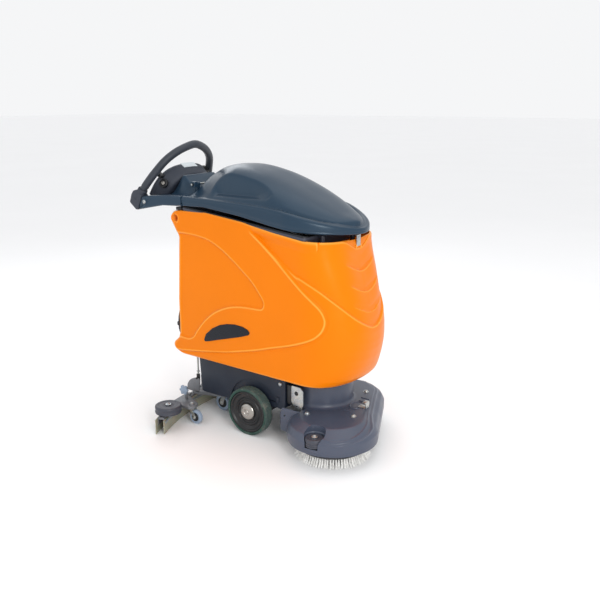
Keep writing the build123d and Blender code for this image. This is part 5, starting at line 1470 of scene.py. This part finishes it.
# ------------------------------------------------------------------ castors
def castor_set(prefix, body_f, body_w, cx0, y, trail, r, half, plate_z, plate_r, stem_r, stem_top, pin_r, nodes, tyre="castor_grey"):
    ax = cx0 + trail
    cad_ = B()
    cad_.add(revolve(rprof([(0, plate_z - 4.6), (plate_r - 1, plate_z - 4.6), (plate_r, plate_z - 3.0), (plate_r, plate_z - 0.6), (stem_r + 1, plate_z),
                           (stem_r, plate_z), (stem_r, stem_top), (0, stem_top)], 0.5), (cx0, y, 0), (0, 0, 1), 48))
    for k in (-1, 1):
        y0, y1 = sorted((y + k * (half + 1.4), y + k * (half + 3.9)))
        xl, xh = cx0 - 0.55 * plate_r, cx0 + 0.55 * plate_r
        dx = 0.27 * r
        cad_.add(prism(fillet([(xl, plate_z - 3), (xh, plate_z - 3), (ax + dx, r + 3), (ax + dx * 0.6, r - dx * 0.95), (ax - dx * 0.6, r - dx * 0.95),
                              (ax - dx, r + 3)], [1, 1, 4, 3, 3, 4], 4), y0, y1, "xz", 0.6))
        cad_.add(revolve(rprof([(0, 0), (pin_r * 2.0, 0), (pin_r * 2.0, pin_r * 0.9), (pin_r * 1.3, pin_r * 1.25), (0, pin_r * 1.25)], 0.4),
                        (ax, y + k * (half + 3.4), r), (0, k, 0), 24))
    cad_.add(revolve(rprof([(0, -half - 3), (pin_r, -half - 3), (pin_r, half + 3), (0, half + 3)], 0.2), (ax, y, r), (0, 1, 0), 20))
    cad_.done(prefix + "_fork", "zinc", body_f, replaces=[nodes[0]], angle=35)
    wp = rprof([(r * 0.62, -half + 1), (r * 0.8, -half + 0.2), (r * 0.93, -half + 0.8), (r, -half + 4.5), (r, half - 4.5), (r * 0.93, half - 0.8),
                (r * 0.8, half - 0.2), (r * 0.62, half - 1)], 1.6)
    B().add(revolve(wp, (ax, y, r), (0, 1, 0), 72)).done(prefix + "_tyre", tyre, body_w, replaces=[nodes[1]], angle=45)
    hb = rprof([(pin_r + 0.2, -half + 0.4), (r * 0.34, -half + 0.2), (r * 0.38, -half + 2.4), (r * 0.55, -half + 2.4), (r * 0.61, -half + 0.8),
                (r * 0.63, -half + 1.6), (r * 0.63, half - 1.6), (r * 0.61, half - 0.8), (r * 0.55, half - 2.4), (r * 0.38, half - 2.4),
                (r * 0.34, half - 0.2), (pin_r + 0.2, half - 0.4)], 0.4)
    B().add(revolve(hb, (ax, y, r), (0, 1, 0), 48)).done(prefix + "_hub", "black_plastic", body_w, angle=35)


for side, s in (("right", -1), ("left", 1)):
    castor_set("rear_castor_" + side, "rear_castor_" + side, "rear_roller_" + side, -215.0, s * 55.6, -30.0, 37.5, 12, 127.5, 24, 10, 147.5, 4.0,
               ("rear_castor_fork_" + side, "rear_castor_wheel_" + side))
    c_ = side[0]
    castor_set("head_castor_" + side, "squeegee_castor_" + c_, "squeegee_wheel_" + c_, -271.0, s * 232.0, 22.0, 30.0, 10, 67.7, 17, 6, 77.5, 3.5,
               ("squeegee_fork_" + side, "squeegee_castor_" + side))

# ------------------------------------------------------------------ squeegee head
RB = (405.0 ** 2 + 92.0 ** 2) / (2 * 92.0)
CX0 = -385.0 + RB
bow = lambda y: CX0 - math.sqrt(RB * RB - y * y)


def band(sec, yh, n=120, wave=None):
    """Sweeps a section of (rearward offset, z) along the bow."""
    rings = []
    am = math.asin(yh / RB)
    for a in np.linspace(-am, am, n):
        c, s_ = math.cos(a), math.sin(a)
        rings.append([(CX0 - (RB + o) * c, (RB + o) * s_, z + (wave(a, o, z) if wave else 0)) for o, z in sec])
    v, f = grid(np.array(rings), cv=True)
    m = len(sec)
    f.append(list(range(m)))
    f.append(list(range((n - 1) * m, n * m))[::-1])
    return v, f


sq = B()
sq.add(band(fillet([(-14, 34), (-14, 68), (14, 68), (14, 34), (10.4, 34), (10.4, 60), (-10.4, 60), (-10.4, 34)],
                   [1, 5, 5, 1, 1, 2, 2, 1], 4), 388, 140))
sq.add(band(fillet([(-5, 67), (-4, 71), (4, 71), (5, 67)], [0, 2, 2, 0], 3), 300, 110))
sq.add(prism(fillet([(-395, -55), (-395, 55), (-335, 34), (-327, 0), (-335, -34)], [6, 6, 10, 14, 10], 5), 67.5, 79.8, "xy", 1.6, 3))
sq.add(revolve(rprof([(0, 79), (7.9, 79), (7.9, 92.5), (13, 92.5), (13, 97), (9, 99.8), (0, 99.8)], 0.6), (-345, 0, 0), (0, 0, 1), 32))
for s in (-1, 1):
    bp_ = [(bow(190) - 12, s * 170), (bow(190) + 8, s * 160), (-262, s * 205), (-246, s * 232), (-262, s * 262), (bow(262) + 2, s * 268),
           (bow(262) - 16, s * 268)]
    if s < 0:
        bp_ = bp_[::-1]
    sq.add(prism(fillet(bp_, [4, 8, 14, 16, 14, 6, 4], 5), 67.8, 79.8, "xy", 1.8, 3))
    sq.add(revolve(rprof([(6.2, 79), (14, 79), (12.5, 83.5), (6.2, 84)], 0.8), (-271, s * 232, 0), (0, 0, 1), 36))
    sq.add(revolve(rprof([(0, 60), (7.9, 60), (7.9, 103.8), (0, 103.8)], 0.4), (-312.6, s * 330.7, 0), (0, 0, 1), 32))
    sq.add(revolve(rprof([(0, 65.5), (16, 65.5), (16, 69.4), (0, 69.4)], 0.8), (-312.6, s * 330.7, 0), (0, 0, 1), 36))
    # tightening knobs along the bar
    for yy in (70, 140, 300):
        x_ = bow(yy)
        sq.add(revolve(rprof([(0, 67), (9.5, 67), (10.5, 74.5), (7, 77.5), (0, 77.5)], 1.2), (x_ + 0.0, s * yy, 0), (0, 0, 1), 28,
                       lambda t, r, h: 0.9 * math.cos(6 * t) if r > 8 else 0))
sq.add(revolve(rprof([(22, 66), (30, 66), (29, 70), (26, 72), (26, 108), (27.2, 109), (27.2, 112), (26, 113), (26, 116), (22, 116)], 1.0),
               (-392, 0, 0), (0, 0, 1), 56))
sq.add(revolve(rprof([(0, 78), (6, 78), (6, 122), (0, 122)], 0.6), (-338, -193, 0), (0, 0, 1), 28))
sq.add(revolve(rprof([(0, -200.2), (7, -200.2), (7, -187), (0, -187)], 0.8), (-338, 0, 122), (0, 1, 0), 28))
sq.add(revolve([(0, -212.8), (3.9, -212.8), (3.9, -199), (0, -199)], (-338, 0, 122), (0, 1, 0), 20))
sq.done("squeegee_head_casting", "cast_grey", "squeegee", replaces=["squeegee_beam"], angle=38)
hn = B()
for s in (-1, 1):
    hn.add(revolve(rprof([(0, 104), (12, 104), (12, 106.4), (0, 106.4)], 0.6), (-312.6, s * 330.7, 0), (0, 0, 1), 36))
    hn.add(revolve([(0, 106), (7.4, 106), (7.4, 108.2), (5.6, 110), (3.0, 110.8), (2.7, 109), (0, 109)], (-312.6, s * 330.7, 0), (0, 0, 1), 30))
    hn.add(revolve(rprof([(0, 83.6), (8.5, 83.6), (8.5, 86.4), (6, 87.8), (0, 87.8)], 0.6), (-271, s * 232, 0), (0, 0, 1), 6))
hn.done("squeegee_head_screws", "zinc", "squeegee")
bl = B()
wavy = lambda a, o, z: 0.0
bl.add(band([(14.3, 2.6), (15.2, 1.0), (17.3, 1.0), (18.1, 2.6), (18.1, 58), (19.2, 59), (19.2, 62.5), (18, 63.8), (14.3, 63.8)], 405, 160))
bl.add(band([(-18.1, 2.6), (-17.3, 1.0), (-15.2, 1.0), (-14.3, 2.6), (-14.3, 59.8), (-18.1, 59.8)], 400, 160))
bl.done("squeegee_rubber_blades", "blade_beige", "squeegee", replaces=["squeegee_blades"], angle=40)
clampb = B()
clampb.add(band(fillet([(18.3, 40), (20.6, 40), (20.6, 60), (18.3, 60)], 0.6, 2), 396, 140))
clampb.add(band(fillet([(-20.4, 42), (-18.3, 42), (-18.3, 57), (-20.4, 57)], 0.6, 2), 392, 140))
for k in range(-5, 6):
    y_ = k * 70.0
    a = math.asin(y_ / RB)
    c_, s_ = math.cos(a), math.sin(a)
    o_ = (CX0 - (RB + 20.4) * c_, (RB + 20.4) * s_, 50)
    clampb.add(disc_screw(o_, (-c_, s_, 0), 4.5, 2.6))
clampb.done("blade_clamping_strips", "zinc", "squeegee", angle=40)
for side, s in (("right", -1), ("left", 1)):
    pr = rprof([(8.1, 70.2), (50, 70.2), (54, 72), (55, 76), (55, 81), (53.6, 82.2), (53.6, 91), (55, 92.2), (55, 97.5), (53.6, 101.5), (50, 103.4),
                (44, 103.5), (40, 101.8), (24, 101.8), (20, 103.2), (17, 101.2), (8.1, 101.2)], 1.2)
    B().add(revolve(pr, (-312.6, s * 330.7, 0), (0, 0, 1), 96)).done("squeegee_bumper_tyre_" + side, "bumper_grey", "squeegee_roller_" + side,
                                                                 replaces=["squeegee_bumper_" + side], angle=36)
kn = B()
lob = []
for t in np.linspace(0, 2 * math.pi, 120, endpoint=False):
    r_ = 19.2 + 2.6 * math.cos(6 * t)
    lob.append((-338 + r_ * math.cos(t), 122 + r_ * math.sin(t)))
kn.add(prism(lob, -214, -200.8, "xz", 2.4, 4))
kn.add(revolve(rprof([(0, 213.4), (9, 213.4), (8.2, 214.9), (0, 215.2)], 0.6), (-338, 0, 122), (0, -1, 0), 28))
kn.done("tilt_knob_lobes", "castor_grey", "tilt_knob", replaces=["squeegee_knob"], angle=40)

# lifting arms, quadrants and the rod
am_ = B()
arz = lambda x: 118 + (x + 146) * 0.155
for s in (-1, 1):
    a, b_ = sorted((s * 127.6, s * 140.8))
    ao = fillet([(-146, 127), (-146, 109), (-300, arz(-300) - 9), (-345, 81), (-352, 81), (-352, 93), (-345, 96), (-300, arz(-300) + 9)],
                [0, 0, 12, 6, 4, 4, 8, 12], 4)
    am_.add(prism(ao, a, b_, "xz", 2.0, 3))
    am_.add(revolve(rprof([(5.1, min(s * 127.6, s * 140.8)), (13, min(s * 127.6, s * 140.8)), (13, max(s * 127.6, s * 140.8)),
                           (5.1, max(s * 127.6, s * 140.8))], 1.0), (-146, 0, 118), (0, 1, 0), 40))
    qd = [(-322, 92), (-304, 94)]
    qd = [(-312, 92)] + [(-322 + 62 * math.cos(t), 96 + 62 * math.sin(t)) for t in np.radians(np.linspace(75, 158, 20))] + [(-384, 94)]
    a2, b2 = sorted((s * 136.2, s * 140.8))
    am_.add(prism(fillet(qd, [3] + [0] * 20 + [4], 3), a2, b2, "xz", 1.0))
am_.add(prism(fillet([(-300, -141), (-300, 141), (-345, 141), (-361, 30), (-363, 0), (-361, -30), (-345, -141)], [6, 6, 10, 20, 20, 20, 10], 4),
              82.2, 91.8, "xy", 1.6, 3))
am_.add(revolve(rprof([(8.2, 81.5), (18, 81.5), (18, 92.2), (8.2, 92.2)], 0.8), (-345, 0, 0), (0, 0, 1), 40))
am_.done("lifting_arms_and_quadrants", "cast_grey", "lift_arm", replaces=["squeegee_arm"], angle=36)
lr = B()
zz = np.arange(160, 250.1, 0.8)
lr.add(tube([(-324, -129, z) for z in zz], 4, 20, rad=[4.0 - (0.35 if (i % 3 == 0 and z > 200) else 0) for i, z in enumerate(zz)], up=(1, 0, 0)))
lr.add(revolve(rprof([(0, 184), (6.8, 184), (6.8, 190), (0, 190)], 0.5), (-324, -129, 0), (0, 0, 1), 6))
lr.done("lifting_rod", "zinc", "lift_arm", replaces=["squeegee_link"])
le = B()
le.add(rbox(-331, -317, -135.6, -123, 150, 175.5, 2.4))
le.add(revolve(rprof([(0, 135.6), (5, 135.6), (5, 142.6), (0, 142.6)], 0.8), (-324, 0, 157), (0, -1, 0), 28))
le.done("rod_end_block", "black_plastic", "lift_arm")

# ------------------------------------------------------------------ hoses


def round_path(pts, n, r=90):
    P = [np.array(p, float) for p in pts]
    out = [P[0]]
    for i in range(1, len(P) - 1):
        a, b_ = P[i - 1] - P[i], P[i + 1] - P[i]
        la, lb = np.linalg.norm(a), np.linalg.norm(b_)
        d = 0.47 * min(la, lb)
        q0, q1 = P[i] + a / la * d, P[i] + b_ / lb * d
        for t in np.linspace(0, 1, 14):
            out.append(q0 * (1 - t) ** 2 + 2 * P[i] * t * (1 - t) + q1 * t * t)
    out.append(P[-1])
    out = np.array(out)
    keep = [0] + [i for i in range(1, len(out)) if np.linalg.norm(out[i] - out[i - 1]) > 1e-6]
    out = out[keep]
    s_ = np.concatenate([[0], np.cumsum(np.linalg.norm(np.diff(out, axis=0), axis=1))])
    u = np.linspace(0, s_[-1], n)
    return np.stack([np.interp(u, s_, out[:, k]) for k in range(3)], 1), s_[-1]


SUC = [(-392, 0, 112), (-392, 0, 205), (-402, -60, 290), (-412, -118, 345), (-412, -118, 430), (-372, -78, 560), (-352, -60, 640), (-303, -60, 640)]
DRN = [(-303, 60, 420), (-345, 60, 420), (-352, 60, 520), (-352, 84, 640), (-352, 104, 758)]
p_, L_ = round_path(SUC, 560)
u_ = np.linspace(0, L_, 560)
rad_ = 20.2 + 1.0 * np.cos(u_ * 2 * math.pi / 6.2)
rad_[(u_ < 26) | (u_ > L_ - 30)] = 20.6
cut = int(np.argmin(np.abs(p_[:, 2] - 262) + 1000 * (p_[:, 2] > 400)))
# the hose is two lengths that meet at the cut
for nm, sl, ja, jb, q0, q1 in (("suction_hose_upper", slice(cut, 560), "chassis", "lift_arm", (-412, -118, 500), (-403, -66, 300)),
                               ("suction_hose_lower", slice(0, cut + 1), "lift_arm", "squeegee", (-396, -25, 240), (-392, 0, 140))):
    hz = B().add(tube(p_[sl], 20, 30, rad=list(rad_[sl]), up=(0, 1, 0.0)))
    ho = bpy.data.objects.new(nm, hz.mesh(nm))
    scene.collection.objects.link(ho)
    smooth_by_angle(ho.data, 60)
    ho.data.materials.append(M["black_rubber"])
    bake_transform(ho)
    if nm == "suction_hose_upper":
        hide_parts("suction_hose")
p_, L_ = round_path(DRN, 420)
u_ = np.linspace(0, L_, 420)
rad_ = 15.2 + 0.7 * np.cos(u_ * 2 * math.pi / 5.2)
rad_[(u_ < 22) | (u_ > L_ - 34)] = 15.9
B().add(tube(p_, 15, 26, rad=list(rad_), up=(0, 1, 0.0))).done("drain_hose_ribbed", "black_rubber", "chassis", replaces=["drain_hose"], angle=60)
hc = B()
hc.add(revolve(rprof([(0, 0), (17.5, 0), (18.5, 2), (18.5, 16), (16.2, 19), (16.2, 30), (13, 34), (0, 34)], 1.2), (-352, 104.5, 742), (0.0, 0.17, 0.985), 40))
hc.add(rbox(-339.5, -332.0, 86, 124, 700, 716, 1.6))
hc.add(revolve(rprof([(16.3, -4), (19.6, -4), (19.6, 5), (16.3, 5)], 0.8), (-352, 97.6, 710), (0, 0.16, 0.987), 36))
hc.add(revolve(rprof([(21.4, -6), (25.2, -6), (25.2, 6), (21.4, 6)], 1.0), (-412, -118, 388), (0, 0, 1), 40))
hc.done("drain_plug_and_clips", "black_plastic", "chassis")

# ------------------------------------------------------------------ inner pieces carried over from the frame
CARRY = {"batteries": "battery_black", "transaxle": "cast_iron", "controller": "heat_sink", "solution_pump": "black_plastic",
         "suction_motor": "black_plastic", "float_ball": "float_white", "brush_motor": "cast_iron", "brush_belt": "black_rubber",
         "pins_and_screws": "zinc"}
for name, mname in CARRY.items():
    ob = NODES[name]
    ob.data.materials.clear()
    ob.data.materials.append(M[mname])
    if name not in ("float_ball", "brush_belt"):
        bv = ob.modifiers.new("edge", "BEVEL")
        bv.width = 0.0008
        bv.segments = 2
        bv.limit_method = "ANGLE"
        bv.angle_limit = math.radians(40)
        bv.harden_normals = False

# ------------------------------------------------------------------ floor, light, camera
fm = bpy.data.meshes.new("floor")
half_f = 60.0
fm.from_pydata([(-half_f, -half_f, 0), (half_f, -half_f, 0), (half_f, half_f, 0), (-half_f, half_f, 0)], [], [(0, 1, 2, 3)])
floor = bpy.data.objects.new("floor", fm)
scene.collection.objects.link(floor)
fmat = mat("floor_pale", (0.96, 0.96, 0.965, 1), rough=(0.6, 0.7), var=0.01, var_scale=0.7, grain=60, bump=0.02, bump_d=0.0002, spec=0.2)
fm.materials.append(fmat)

w = bpy.data.worlds.new("studio") if not scene.world else scene.world
scene.world = w
w.use_nodes = True
bg = w.node_tree.nodes["Background"]
bg.inputs["Strength"].default_value = 0.93
bg.inputs["Color"].default_value = (0.985, 0.99, 1.0, 1)


def area(name, loc, target, size, power, col=(1, 1, 1), size_y=None):
    d = bpy.data.lights.new(name, "AREA")
    d.energy = power
    d.color = col
    d.shape = "RECTANGLE"
    d.size = size
    d.size_y = size_y or size
    o = bpy.data.objects.new(name, d)
    o.location = loc
    o.rotation_euler = (Vector(target) - Vector(loc)).to_track_quat("-Z", "Y").to_euler()
    scene.collection.objects.link(o)
    return o


area("key", (3.1, -2.4, 2.0), (0.1, 0.0, 0.6), 0.9, 62, (1, 0.99, 0.97), 2.2)
area("left_fill", (-2.4, -3.2, 1.9), (0.0, 0.0, 0.5), 2.0, 5, (1, 0.99, 0.98))
area("top", (0.6, 0.8, 4.2), (0.1, 0, 0.5), 3.0, 22, (1, 1, 1))
area("rear_rim", (-2.6, 2.0, 2.6), (0, 0, 0.7), 1.6, 16, (0.96, 0.98, 1))

cd = bpy.data.cameras.new("main")
cd.lens = 44.634
cd.sensor_width = 36.0
cd.sensor_fit = "HORIZONTAL"
cd.clip_end = 200
cam = bpy.data.objects.new("main", cd)
cam.location = (1.7880, -2.3918, 1.3207)
cam.rotation_euler = (-Vector((0.5466, -0.7967, 0.2580))).to_track_quat("-Z", "Y").to_euler()
scene.collection.objects.link(cam)
scene.camera = cam
scene.view_settings.view_transform = "Standard"
scene.view_settings.look = "None"
